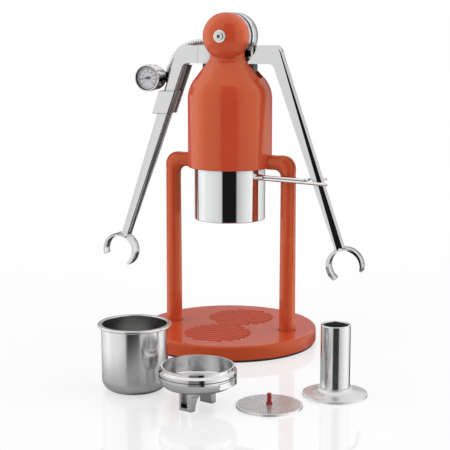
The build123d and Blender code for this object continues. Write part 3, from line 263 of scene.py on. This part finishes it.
def make_plain(name, dark, light, rough, grain, stretch=(1.0, 1.0, 1.0), metallic=0.0,
               painted_shade_size=0.0, bump=0.0, bump_grain=0.0):
    """A surface whose colour and roughness drift a little with a noise."""
    material, graph = new_material(name)
    drift = graph.noise(grain, drift_detail, stretch)
    colour = graph.drift_colour(drift, dark, light)
    # Painted shade in gaps and sockets of the given size
    if painted_shade_size:
        colour = graph.crevices(colour, painted_shade_size)
    inputs = {"Base Color": colour, "Roughness": graph.span(drift, *rough), "Metallic": metallic}
    if bump:
        inputs["Normal"] = graph.bump(graph.noise(bump_grain, fine_detail, stretch), bump)
    graph.principled(inputs)
    return material


# Chrome of the arms and of the gauge's clamp

arm_tone = (0.725, 0.73, 0.735, 1.0)
arm_rough = 0.04
arm_painted_shade_size = 0.014
# Tones of painted reflection: dark on faces at a slant to the front, and a tone on the bevel
painted_dark_reflection_tone = 0.05
streaked_painted_bevel_tone = 0.72
plain_painted_bevel_tone = 1.0

# The inner side, between these heights at rest in millimetres, keeps the streaks of its grinding;
# their dark tone is a painted dark reflection, and their blue tint cancels the orange light bounced from
# the body
ground_above = 108.0
ground_below = 298.0
ground_fade = 2.0
ground_rough = 0.34
ground_metallic = 0.4
inner_side_normal = (0.75, 0.88)
streak_grain = 320.0
streak_stretch = (0.02, 1.0, 0.02)
streak_and_painted_reflection_colours = [(0.44, (0.05, 0.06, 0.062)), (0.56, (0.60, 0.73, 0.75))]


def inner_side(graph):
    """1 on faces that look right at rest, between the two heights, and 0 on all others."""
    place = graph.texture_place()
    height = graph.axes(place["Object"])["Z"]
    low = graph.span_between(height, ground_below * MM, (ground_below - ground_fade) * MM, 0.0, 1.0)
    high = graph.span_between(height, ground_above * MM, (ground_above + ground_fade) * MM, 0.0, 1.0)
    inward = graph.axes(place["Normal"])["X"]
    flank = graph.span_between(inward, *inner_side_normal, 0.0, 1.0)
    return graph.math("MULTIPLY", flank, graph.math("MULTIPLY", low, high))


def make_arm_chrome(name, painted_bevel_tone, streaked):
    """A mirror with painted dark reflections on faces at a slant to the front and painted shade in gaps,
    and the streaks of an inner side.
    """
    material, graph = new_material(name)
    # 0 on the sides, about 0.9 on the bevel and 1 on the front
    front = graph.math("MULTIPLY", graph.axes(graph.geometry()["Normal"])["Y"], -1.0)
    # Painted reflection: faces at a middling slant to the front are painted dark, and the bevel takes
    # its painted tone
    painted_reflection = graph.ramp(front, [
        (0.25, 1.0), (0.45, painted_dark_reflection_tone), (0.8, painted_dark_reflection_tone),
        (0.87, painted_bevel_tone), (0.93, painted_bevel_tone), (0.97, 1.0)])
    # Painted shade in gaps, multiplied by the painted reflections
    mirror = graph.mix(1.0, graph.crevices(arm_tone, arm_painted_shade_size), painted_reflection, "MULTIPLY")
    inputs = {"Base Color": mirror, "Roughness": arm_rough, "Metallic": 1.0}
    if streaked:
        ground = inner_side(graph)
        # Grinding streaks, with a painted dark reflection and a blue tint against the body's orange
        # bounce light
        streaks = graph.ramp(graph.noise(streak_grain, drift_detail, streak_stretch), streak_and_painted_reflection_colours)
        inputs = {
            "Base Color": graph.mix(ground, mirror, streaks),
            "Roughness": graph.span(ground, arm_rough, ground_rough),
            "Metallic": graph.span(ground, 1.0, ground_metallic),
        }
    graph.principled(inputs)
    return material


# Chrome of the portafilter's bowl

bowl_centre = box_mm("portafilter_bowl")[1]
bowl_grain = 160.0
bowl_dark = (0.70, 0.70, 0.70)
bowl_light = (0.75, 0.75, 0.755)
bowl_painted_shade_size = 0.005
bowl_rough = 0.075
bowl_inner_rough = 0.16
bowl_inner_metallic = 0.9
bowl_facing_in = (-0.6, -0.3)


def make_bowl_chrome():
    """Bright outside, and brushed on the walls that face the bowl's middle."""
    material, graph = new_material("bowl_chrome")
    axis = (bowl_centre[0] * MM, bowl_centre[1] * MM, 0.0)
    place = graph.vector("SUBTRACT", graph.texture_place()["Object"], axis)["Vector"]
    outward = graph.vector("MULTIPLY", place, (1.0, 1.0, 0.0))["Vector"]
    outward = graph.vector("NORMALIZE", outward)["Vector"]
    facing = graph.vector("DOT_PRODUCT", outward, graph.geometry()["Normal"])["Value"]
    inside = graph.span_between(facing, *bowl_facing_in, 1.0, 0.0)
    drift = graph.noise(bowl_grain, drift_detail)
    colour = graph.drift_colour(drift, bowl_dark, bowl_light)
    graph.principled({
        # Painted shade in gaps and sockets
        "Base Color": graph.crevices(colour, bowl_painted_shade_size),
        "Roughness": graph.span(inside, bowl_rough, bowl_inner_rough),
        "Metallic": graph.span(inside, 1.0, bowl_inner_metallic),
    })
    return material


# Orange enamel of the body and the legs, and of the base

enamel_grain = 25.0
enamel_rough = (0.08, 0.12)
enamel_ripple = 260.0
enamel_ripple_strength = 0.03
body_dark = (0.520, 0.0670, 0.0290)
body_light = (0.545, 0.0705, 0.0310)
body_tint = (1.0, 0.82, 0.35, 1.0)
base_dark = (0.518, 0.0650, 0.0220)
base_light = (0.543, 0.0680, 0.0235)
base_tint = (1.0, 0.72, 0.35, 1.0)
base_gloss = 0.55
relief_gloss = 0.1

# The body's gloss by how slanted a face is seen
body_gloss = [(0.2, 0.62), (0.38, 0.95), (0.5, 0.85), (0.75, 0.05)]

# In millimetres: how high the relief stands on the base's top, where on that height its gloss
# changes, and how far below and above the top the painted shade is spread: the side is painted darker,
# and the relief darker and redder, than the top
relief_height = 0.9
base_top = box_mm("base_plate")[2][2] - relief_height
relief_start = 0.05
relief_end = 0.2
painted_shade_reach = 1.0
base_painted_shade = [(0.0, 0.85), (0.45, 1.0), (0.52, 1.0), (0.6, (0.86, 0.78, 0.72))]


def finish_enamel(graph, colour, drift, tint, gloss):
    """Smooth and glossy, with the faint ripple that fired enamel has."""
    graph.principled({
        "Base Color": colour,
        "Roughness": graph.span(drift, *enamel_rough),
        "Normal": graph.bump(graph.noise(enamel_ripple, fine_detail), enamel_ripple_strength),
        "Specular Tint": tint,
        "Specular IOR Level": gloss,
    })


def make_enamel():
    """The enamel of the body and legs: its gloss is strongest at a middling slant."""
    material, graph = new_material("orange_enamel")
    drift = graph.noise(enamel_grain, drift_detail)
    colour = graph.drift_colour(drift, body_dark, body_light)
    finish_enamel(graph, colour, drift, body_tint, graph.ramp(graph.slant(), body_gloss))
    return material


def make_base_enamel():
    """The enamel of the base: its side and its raised relief are painted darker than the top as painted
    shade, and the relief is less glossy.
    """
    material, graph = new_material("base_enamel")
    drift = graph.noise(enamel_grain, drift_detail)
    height = graph.axes(graph.geometry()["Position"])["Z"]
    level = graph.span_between(
        height, (base_top - painted_shade_reach) * MM, (base_top + painted_shade_reach) * MM, 0.0, 1.0)
    colour = graph.drift_colour(drift, base_dark, base_light)
    # Painted shade: the side darker, and the relief darker and redder, than the top
    colour = graph.mix(1.0, colour, graph.ramp(level, base_painted_shade), "MULTIPLY")
    gloss = graph.span_between(height, (base_top + relief_start) * MM, (base_top + relief_end) * MM,
                               base_gloss, relief_gloss)
    finish_enamel(graph, colour, drift, base_tint, gloss)
    return material


# Glass of the gauge's lens

lens_grain = 80.0
lens_rough = (0.035, 0.06)
lens_reflection = (0.04, 0.6)
lens_reflection_power = 5.0


def make_glass():
    """Clear, with a faint reflection that grows with the slant."""
    material, graph = new_material("clear_glass")
    gloss = graph.glossy(graph.span(graph.noise(lens_grain, fine_detail), *lens_rough))
    share = graph.math("POWER", graph.slant(), lens_reflection_power)
    share = graph.span(share, *lens_reflection)
    graph.finish(graph.mix_shaders(share, graph.clear(), gloss))
    return material


# Finishes of the CAD nodes

# Nodes whose finish differs from the rest of their material slot
own_finish = {
    "arm_left": "streaked_painted_edge_chrome",
    "arm_right": "painted_edge_chrome",
    "gauge_bracket": "streaked_painted_edge_chrome",
    "base_plate": "base_enamel",
    "gauge_bezel": "bright_chrome",
    "portafilter_bowl": "bowl_chrome",
    "tamper_base": "tamper_steel",
    "tamper_handle": "turned_steel",
    "keeper_boss": "bright_chrome",
    "keeper_wire": "bright_chrome",
}

# Nodes whose sharp edges get a small break, in millimetres, that shows as a thin line
softened_nodes = ("arm_left", "arm_right", "gauge_bracket")
edge_break = 0.6
edge_segments = 2
edge_angle = 35
same_corner = 0.002


def make_materials():
    materials = {name: make_plain(name, **finish) for name, finish in plain_finishes.items()}
    materials["streaked_painted_edge_chrome"] = make_arm_chrome("streaked_painted_edge_chrome", streaked_painted_bevel_tone, streaked=True)
    materials["painted_edge_chrome"] = make_arm_chrome("painted_edge_chrome", plain_painted_bevel_tone, streaked=False)
    materials["bowl_chrome"] = make_bowl_chrome()
    materials["orange_enamel"] = make_enamel()
    materials["base_enamel"] = make_base_enamel()
    materials["clear_glass"] = make_glass()
    return materials


def dress_nodes(materials):
    """Gives every CAD node its own finish, or else the material of its slot."""
    for row in frame["record"]["subparts"]:
        node = nodes[row["node"]]
        node.data.materials.clear()
        finish = own_finish.get(row["node"], row["material_slot"])
        node.data.materials.append(materials[finish])


def soften_edges():
    """Joins the mesh's doubled corners, so that the edges between its faces can be broken."""
    for name in softened_nodes:
        weld = nodes[name].modifiers.new("joined_corners", "WELD")
        weld.merge_threshold = same_corner * MM
        bevel = nodes[name].modifiers.new("edge_break", "BEVEL")
        bevel.width = edge_break * MM
        bevel.segments = edge_segments
        bevel.limit_method = "ANGLE"
        bevel.angle_limit = math.radians(edge_angle)
        bevel.harden_normals = True


# Mesh helpers

def new_object(name, data):
    made = bpy.data.objects.new(name, data)
    bpy.context.scene.collection.objects.link(made)
    return made


def new_mesh(name, vertices, faces):
    mesh = bpy.data.meshes.new(name)
    mesh.from_pydata(vertices, [], faces)
    mesh.validate()
    return mesh


def finish_piece(name, mesh, material, body, smooth=True):
    """Puts a mesh in the scene as a piece that rides on a body."""
    piece = new_object(name, mesh)
    mesh.materials.clear()
    mesh.materials.append(material)
    for polygon in mesh.polygons:
        polygon.use_smooth = smooth
    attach(piece, body)
    return piece


def smooth_line(points):
    """Points along the smooth NURBS line of a given route."""
    curve = bpy.data.curves.new("line", "CURVE")
    curve.dimensions = "3D"
    spline = curve.splines.new("NURBS")
    spline.points.add(len(points) - 1)
    for point, place in zip(spline.points, points):
        point.co = (*[value * MM for value in place], 1.0)
    spline.order_u = 3
    spline.use_endpoint_u = True
    spline.resolution_u = 40
    helper = bpy.data.objects.new("line", curve)
    mesh = bpy.data.meshes.new_from_object(helper)
    line = [vertex.co.copy() for vertex in mesh.vertices]
    bpy.data.objects.remove(helper)
    bpy.data.curves.remove(curve)
    bpy.data.meshes.remove(mesh)
    return line


def even_points(line, step):
    """Places and directions at an even spacing along a line of points."""
    lengths = [0.0]
    for before, after in zip(line, line[1:]):
        lengths.append(lengths[-1] + (after - before).length)
    count = max(2, round(lengths[-1] / step))
    places = []
    index = 0
    for i in range(count + 1):
        target = lengths[-1] * i / count
        while index < len(line) - 2 and lengths[index + 1] < target:
            index += 1
        share = (target - lengths[index]) / (lengths[index + 1] - lengths[index])
        along = (line[index + 1] - line[index]).normalized()
        places.append((line[index].lerp(line[index + 1], share), along))
    return places


def tube_mesh(name, places, radii, sides):
    """A closed tube through places with a radius at each."""
    rings = []
    vertices = []
    faces = []
    side = Vector((0.0, 1.0, 0.0))
    for (point, along), radius in zip(places, radii):
        side = (side - along * side.dot(along)).normalized()
        other = along.cross(side)
        ring = []
        for i in range(sides):
            turn = 2 * math.pi * i / sides
            ring.append(len(vertices))
            vertices.append(point + (side * math.cos(turn) + other * math.sin(turn)) * radius)
        rings.append(ring)
    for before, after in zip(rings, rings[1:]):
        for i in range(sides):
            j = (i + 1) % sides
            faces.append((before[i], before[j], after[j], after[i]))
    faces.append(tuple(reversed(rings[0])))
    faces.append(tuple(rings[-1]))
    return new_mesh(name, vertices, faces)


def lathe_mesh(name, outline, centre, sides):
    """A closed ring turned about Z from an outline of radii and heights in millimetres."""
    vertices = []
    faces = []
    count = len(outline)
    for i in range(sides):
        turn = 2 * math.pi * i / sides
        for radius, height in outline:
            vertices.append(((centre[0] + radius * math.cos(turn)) * MM,
                             (centre[1] + radius * math.sin(turn)) * MM, height * MM))
    for i in range(sides):
        j = (i + 1) % sides
        for k in range(count):
            m = (k + 1) % count
            faces.append((i * count + k, j * count + k, j * count + m, i * count + m))
    return new_mesh(name, vertices, faces)


def mesh_from_bmesh(name, source):
    mesh = bpy.data.meshes.new(name)
    source.to_mesh(mesh)
    source.free()
    return mesh


def join_meshes(name, meshes):
    """One mesh from several."""
    joined = bmesh.new()
    for mesh in meshes:
        joined.from_mesh(mesh)
    return mesh_from_bmesh(name, joined)


# Hose, in millimetres: its route, its radius over the ribs and between them, and their spacing

hose_points = [
    (-73.82, 16.1, 278.4),
    (-68.8, 16.1, 295.0),
    (-51.2, 18.2, 308.5),
    (-31.0, 24.6, 309.2),
    (-15.0, 30.4, 314.6),
    (-6.6, 31.5, 315.4),
]
hose_radius = 3.6
hose_valley = 2.0
hose_pitch = 2.5
hose_sides = 28
hose_steps = 8


def make_hose(material):
    """The ribbed metal hose from the pressure block to the banjo on the axle's line."""
    places = even_points(smooth_line(hose_points), hose_pitch / hose_steps * MM)
    radii = []
    for i in range(len(places)):
        share = 2 * (i % hose_steps) / hose_steps - 1
        swell = math.sqrt(1 - share ** 2)
        radii.append((hose_valley + (hose_radius - hose_valley) * swell) * MM)
    mesh = tube_mesh("hose_ribs", places, radii, hose_sides)
    piece = finish_piece("hose_ribs", mesh, material, "left_lever")
    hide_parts("pressure_hose")


# Gauge dial, in millimetres and degrees: its scale runs from lower left round to lower right

dial_middle = box_mm("gauge_bezel")[1]
dial_face_y = box_mm("gauge_dial")[0][1]
dial_lift = 0.03
scale_start = 225.0
scale_sweep = -270.0
scale_numbers = range(0, 17, 2)
number_radius = 6.4
number_size = 2.6
number_extrude = 0.035
number_lift = 0.04
ticks_per_number = 4
tick_end = 10.5
tick_height = 0.08
long_tick_start = 8.2
long_tick_width = 0.6
short_tick_start = 8.9
short_tick_width = 0.3
scale_ring_width = 0.2
scale_ring_height = 0.07
scale_ring_steps = 90


def scale_angle(share):
    """The angle of a place on the scale, from 0 at its start to 1 at its end."""
    return scale_start + scale_sweep * share


def dial_point(radius, angle, lift):
    """A place on the dial, angle in degrees anticlockwise from the right."""
    turn = math.radians(angle)
    return ((dial_middle[0] + radius * math.cos(turn)) * MM,
            (dial_face_y - dial_lift - lift) * MM,
            (dial_middle[2] + radius * math.sin(turn)) * MM)


def add_bar(mesh, angle, inner, outer, width, height):
    """A thin raised bar along a ray of the dial."""
    across = math.degrees(width / (inner + outer))
    corners = []
    for lift in (0.0, height):
        for radius, side in ((inner, -1), (outer, -1), (outer, 1), (inner, 1)):
            corners.append(mesh.verts.new(dial_point(radius, angle + side * across, lift)))
    low, high = corners[:4], corners[4:]
    mesh.faces.new(high)
    mesh.faces.new(list(reversed(low)))
    for i in range(4):
        j = (i + 1) % 4
        mesh.faces.new((low[i], low[j], high[j], high[i]))


def make_dial_marks(material):
    """The scale's ticks, and the ring that joins their outer ends."""
    marks = bmesh.new()
    tick_count = ticks_per_number * (len(scale_numbers) - 1)
    for i in range(tick_count + 1):
        angle = scale_angle(i / tick_count)
        if i % ticks_per_number == 0:
            add_bar(marks, angle, long_tick_start, tick_end, long_tick_width, tick_height)
        else:
            add_bar(marks, angle, short_tick_start, tick_end, short_tick_width, tick_height)
    step_length = math.radians(abs(scale_sweep)) * tick_end / scale_ring_steps
    for i in range(scale_ring_steps):
        add_bar(marks, scale_angle((i + 0.5) / scale_ring_steps), tick_end - scale_ring_width / 2,
                tick_end + scale_ring_width / 2, step_length, scale_ring_height)
    mesh = mesh_from_bmesh("dial_marks", marks)
    finish_piece("dial_marks", mesh, material, "left_lever", smooth=False)


def number_mesh(number):
    """A number that lies flat about the origin."""
    text = bpy.data.curves.new("number", "FONT")
    text.body = str(number)
    text.size = number_size * MM
    text.extrude = number_extrude * MM
    text.align_x = "CENTER"
    text.align_y = "CENTER"
    helper = new_object("number", text)
    bpy.context.view_layer.update()
    mesh = bpy.data.meshes.new_from_object(
        helper.evaluated_get(bpy.context.evaluated_depsgraph_get()))
    bpy.data.objects.remove(helper)
    return mesh


def make_dial_numbers(material):
    """Plain numbers at the long ticks."""
    meshes = []
    for i, number in enumerate(scale_numbers):
        mesh = number_mesh(number)
        angle = scale_angle(i / (len(scale_numbers) - 1))
        place = Matrix.Translation(dial_point(number_radius, angle, number_lift))
        mesh.transform(place @ Matrix.Rotation(math.radians(90), 4, "X"))
        meshes.append(mesh)
    mesh = join_meshes("dial_numbers", meshes)
    finish_piece("dial_numbers", mesh, material, "left_lever", smooth=False)


# Shower screen, in millimetres: its perforated sheet, its rim, and the collar round its plug

screen_middle, screen_high = box_mm("screen_disc")[1:]
screen_radius = screen_high[0] - screen_middle[0]
screen_top = screen_high[2]
sheet_thickness = 0.5
sheet_set_in = 0.06
hole_pitch = 2.15
hole_radius = 0.6
hole_margin = 1.2
hole_sides = 12
plug_room = 2.6
rim_width = 1.9
rim_wall = 0.8
rim_lip = 0.7
rim_round = 0.4
rim_round_middle = 0.12
rim_sides = 128
collar_inner = 2.05
collar_outer = 3.6
collar_height = 0.6
collar_sides = 48
corners_joined = 0.01
backing_low = 0.2
backing_high = 0.6
backing_gap = 0.9
backing_sides = 96


def add_cell(sheet, x, y):
    """A six-sided cell of the sheet round a hole: every other point of its outline is a corner."""
    outline = []
    hole = []
    for k in range(hole_sides):
        turn = 2 * math.pi * k / hole_sides
        reach = hole_pitch / 2 if k % 2 == 0 else hole_pitch / math.sqrt(3)
        outline.append((x + reach * math.cos(turn), y + reach * math.sin(turn)))
        hole.append((x + hole_radius * math.cos(turn), y + hole_radius * math.sin(turn)))
    loops = []
    sheet_top = screen_top - sheet_set_in
    for height in (sheet_top, sheet_top - sheet_thickness):
        for loop in (outline, hole):
            loops.append([sheet.verts.new((px * MM, py * MM, height * MM)) for px, py in loop])
    top_out, top_in, low_out, low_in = loops
    for k in range(hole_sides):
        j = (k + 1) % hole_sides
        sheet.faces.new((top_out[k], top_out[j], top_in[j], top_in[k]))
        sheet.faces.new((low_in[k], low_in[j], low_out[j], low_out[k]))
        sheet.faces.new((top_in[k], top_in[j], low_in[j], low_in[k]))


def perforated_sheet():
    """Cells in staggered rows that share their corners."""
    sheet = bmesh.new()
    row_gap = hole_pitch * math.sqrt(3) / 2
    rows = math.ceil(screen_radius / row_gap)
    for row in range(-rows, rows + 1):
        for column in range(-rows, rows + 1):
            x = (column + 0.5 * (row % 2)) * hole_pitch
            y = row * row_gap
            if plug_room <= math.hypot(x, y) <= screen_radius - hole_margin:
                add_cell(sheet, screen_middle[0] + x, screen_middle[1] + y)
    bmesh.ops.remove_doubles(sheet, verts=sheet.verts, dist=corners_joined * MM)
    return mesh_from_bmesh("sheet", sheet)


def make_screen(material):
    """The perforated screen with its plain rim, in place of the plain disc."""
    wall = screen_radius - rim_wall
    lip = screen_top - rim_lip
    rim = lathe_mesh("rim", [
        (wall, 0.0), (screen_radius, 0.0), (screen_radius, screen_top - rim_round),
        (screen_radius - rim_round_middle, screen_top - rim_round_middle),
        (screen_radius - rim_round, screen_top), (screen_radius - rim_width, screen_top),
        (screen_radius - rim_width, lip), (wall, lip),
    ], screen_middle, rim_sides)
    collar_low = screen_top - collar_height
    collar = lathe_mesh("collar", [
        (collar_inner, collar_low), (collar_outer, collar_low),
        (collar_outer, screen_top), (collar_inner, screen_top),
    ], screen_middle, collar_sides)
    backing_edge = screen_radius - backing_gap
    backing = lathe_mesh("backing", [
        (collar_inner, backing_low), (backing_edge, backing_low),
        (backing_edge, backing_high), (collar_inner, backing_high),
    ], screen_middle, backing_sides)
    mesh = join_meshes("screen_sheet", [rim, collar, backing, perforated_sheet()])
    piece = finish_piece("screen_sheet", mesh, material, "loose_screen",
                         smooth=False)
    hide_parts("screen_disc")


# Floor, in metres, and its tones: in diffuse light, in the object's reflections, where its darker tone
# is painted shade, and as shown

floor_reach = 0.62
floor_sides = 96
floor_middle_y = -0.06
floor_tone = 0.86
floor_painted_shade_mirrored = 0.40
floor_tone_shown = 0.25
floor_glow_shown = 0.74
floor_shine = 0.16

# Where the floor begins to give way to the studio in the object's reflections, and where it ends
fade_behind = (-0.02, 0.06)
fade_behind_start = 0.2
fade_away = (0.12, 0.24)
fade_away_middle = (0.06, -0.17, 0.0)
fade_right = (0.09, 0.12)


def floor_mesh():
    ring = []
    for i in range(floor_sides):
        turn = 2 * math.pi * i / floor_sides
        ring.append((floor_reach * math.cos(turn), floor_reach * math.sin(turn) + floor_middle_y, 0.0))
    return new_mesh("floor", ring, [tuple(range(floor_sides))])


def shown_share(graph, light_path):
    """1 for what the camera sees, also through the clear lens."""
    return graph.math("MAXIMUM", light_path["Is Camera Ray"], light_path["Is Transmission Ray"])


def floor_gone(graph):
    """How far the floor has given way: behind, away from the loose fittings, and to the right."""
    place = graph.geometry()["Position"]
    axes = graph.axes(place)
    behind = graph.span_between(axes["Y"], *fade_behind, fade_behind_start, 1.0)
    distance = graph.vector("DISTANCE", place, fade_away_middle)["Value"]
    away = graph.span_between(distance, *fade_away, 0.0, 1.0)
    right = graph.span_between(axes["X"], *fade_right, 0.0, 1.0)
    return graph.math("MAXIMUM", graph.math("MAXIMUM", behind, away), right)


def make_floor():
    """The pale table top: it keeps a soft shadow and a faint mirror image."""
    floor = new_object("floor", floor_mesh())
    material, graph = new_material("table_top")
    light_path = graph.add("ShaderNodeLightPath").outputs
    glow = graph.add("ShaderNodeEmission", {"Color": grey(1.0), "Strength": floor_glow_shown})
    lit = graph.add("ShaderNodeAddShader", {
        0: graph.matt(floor_tone_shown), 1: glow.outputs["Emission"]}).outputs["Shader"]
    # In the object's reflections the floor takes a darker tone, a painted shade
    unseen = graph.mix_shaders(
        light_path["Is Glossy Ray"], graph.matt(floor_tone), graph.matt(floor_painted_shade_mirrored))
    base = graph.mix_shaders(shown_share(graph, light_path), unseen, lit)
    shine = graph.math("MULTIPLY", light_path["Is Camera Ray"], floor_shine)
    top = graph.mix_shaders(shine, base, graph.glossy(0.0))
    passing = graph.math("MULTIPLY", light_path["Is Glossy Ray"], floor_gone(graph))
    graph.finish(graph.mix_shaders(passing, top, graph.clear()))
    floor.data.materials.append(material)


# Studio light, as brightness by direction

# Azimuth in degrees, 0 in front and + to the right, and how bright the walls are there
walls = [
    (-180, 0.35), (-162, 0.45), (-150, 0.22), (-140, 0.25), (-128, 0.80), (-109, 0.95),
    (-79, 1.25), (-60, 1.05), (-22, 0.92), (-7, 0.78), (-3, 0.012), (40, 0.012), (44, 0.60),
    (64, 0.88), (90, 1.15), (104, 1.30), (130, 1.10), (150, 0.90), (163, 0.75), (172, 0.42),
    (180, 0.35),
]
below_walls = [(-180, 0.08), (-150, 0.08), (-130, 0.6), (140, 0.6), (160, 0.08), (180, 0.08)]
roof_tone = 0.62
roof_tone_mirrored = 1.05
card_tone_mirrored = 0.9
strongest = 1.4

# How much brighter the studio is for matt surfaces than in reflections
matt_gain = 1.65

# Degrees: where the walls turn into the roof, where the white card stands behind the object and
# how high its foot is, and where the walls end below, in front and behind
roof_start = (46, 54)
card_sides = (135, 150)
card_foot = (15.2, 17)
walls_foot = (-20, -12)
walls_foot_fade = 3


def brightness_ramp(graph, place, table):
    return graph.ramp(place, [((angle + 180) / 360, value / strongest) for angle, value in table])


def elevation_share(graph, up, between):
    """Rises from 0 to 1 between two elevations in degrees."""
    start, end = [math.radians(angle) for angle in between]
    return graph.span_between(up, start, end, 0.0, 1.0, "SMOOTHSTEP")


def studio_colour(graph, glossy):
    """The studio's brightness in a ray's direction, as a share of the strongest."""
    axes = graph.axes(graph.texture_place()["Generated"])
    azimuth = graph.math("ARCTAN2", axes["X"], graph.math("MULTIPLY", axes["Y"], -1.0))
    place = graph.math("ADD", graph.math("DIVIDE", azimuth, 2 * math.pi), 0.5)
    up = graph.math("ARCSINE", axes["Z"])
    roof = graph.span(glossy, roof_tone / strongest, roof_tone_mirrored / strongest)
    sky = graph.mix(elevation_share(graph, up, roof_start), brightness_ramp(graph, place, walls), roof)
    start, end = [math.radians(angle) for angle in card_sides]
    behind = graph.span_between(graph.math("ABSOLUTE", azimuth), start, end, 0.0, 1.0)
    card = graph.math("MULTIPLY", elevation_share(graph, up, card_foot),
                      graph.math("MULTIPLY", behind, glossy))
    sky = graph.mix(card, sky, grey(card_tone_mirrored / strongest))
    foot = graph.span(behind, *[math.radians(angle) for angle in walls_foot])
    foot_end = graph.math("SUBTRACT", foot, math.radians(walls_foot_fade))
    below = graph.span_between(up, foot, foot_end, 0.0, 1.0)
    return graph.mix(below, sky, brightness_ramp(graph, place, below_walls))


def make_world():
    """White behind the object, and for light and reflections a studio with a dark front."""
    world = bpy.data.worlds.new("studio")
    bpy.context.scene.world = world
    world.use_nodes = True
    graph = Nodes(world.node_tree)
    light_path = graph.add("ShaderNodeLightPath").outputs
    glossy = light_path["Is Glossy Ray"]
    lit = graph.add("ShaderNodeBackground", {
        "Color": studio_colour(graph, glossy),
        "Strength": graph.span(glossy, strongest * matt_gain, strongest)}).outputs["Background"]
    white = graph.add("ShaderNodeBackground", {
        "Color": grey(1.0), "Strength": 1.0}).outputs["Background"]
    shown = graph.math("MAXIMUM", shown_share(graph, light_path), light_path["Is Singular Ray"])
    graph.add("ShaderNodeOutputWorld", {"Surface": graph.mix_shaders(shown, lit, white)})


# Camera, in metres, found from the base, the legs, the arms and the claws

sensor_width = 36.0
photo_width = 450.0
focal_pixels = 1198.8
camera_place = (0.42897, -1.14745, 0.32613)
camera_forward = (-0.34925, 0.92252, -0.16426)


def make_camera():
    """The photograph's view."""
    data = bpy.data.cameras.new("camera")
    data.sensor_width = sensor_width
    data.lens = sensor_width * focal_pixels / photo_width
    data.clip_end = 20.0
    camera = new_object("camera", data)
    camera.location = camera_place
    forward = Vector(camera_forward).normalized()
    camera.rotation_euler = forward.to_track_quat("-Z", "Y").to_euler()
    bpy.context.scene.camera = camera


def main():
    materials = make_materials()
    dress_nodes(materials)
    soften_edges()
    make_hose(materials["bright_chrome"])
    make_dial_marks(materials["needle_black"])
    make_dial_numbers(materials["needle_black"])
    make_screen(materials["screen_steel"])
    make_floor()
    make_world()
    make_camera()
    bpy.context.scene.view_settings.view_transform = "Standard"


main()
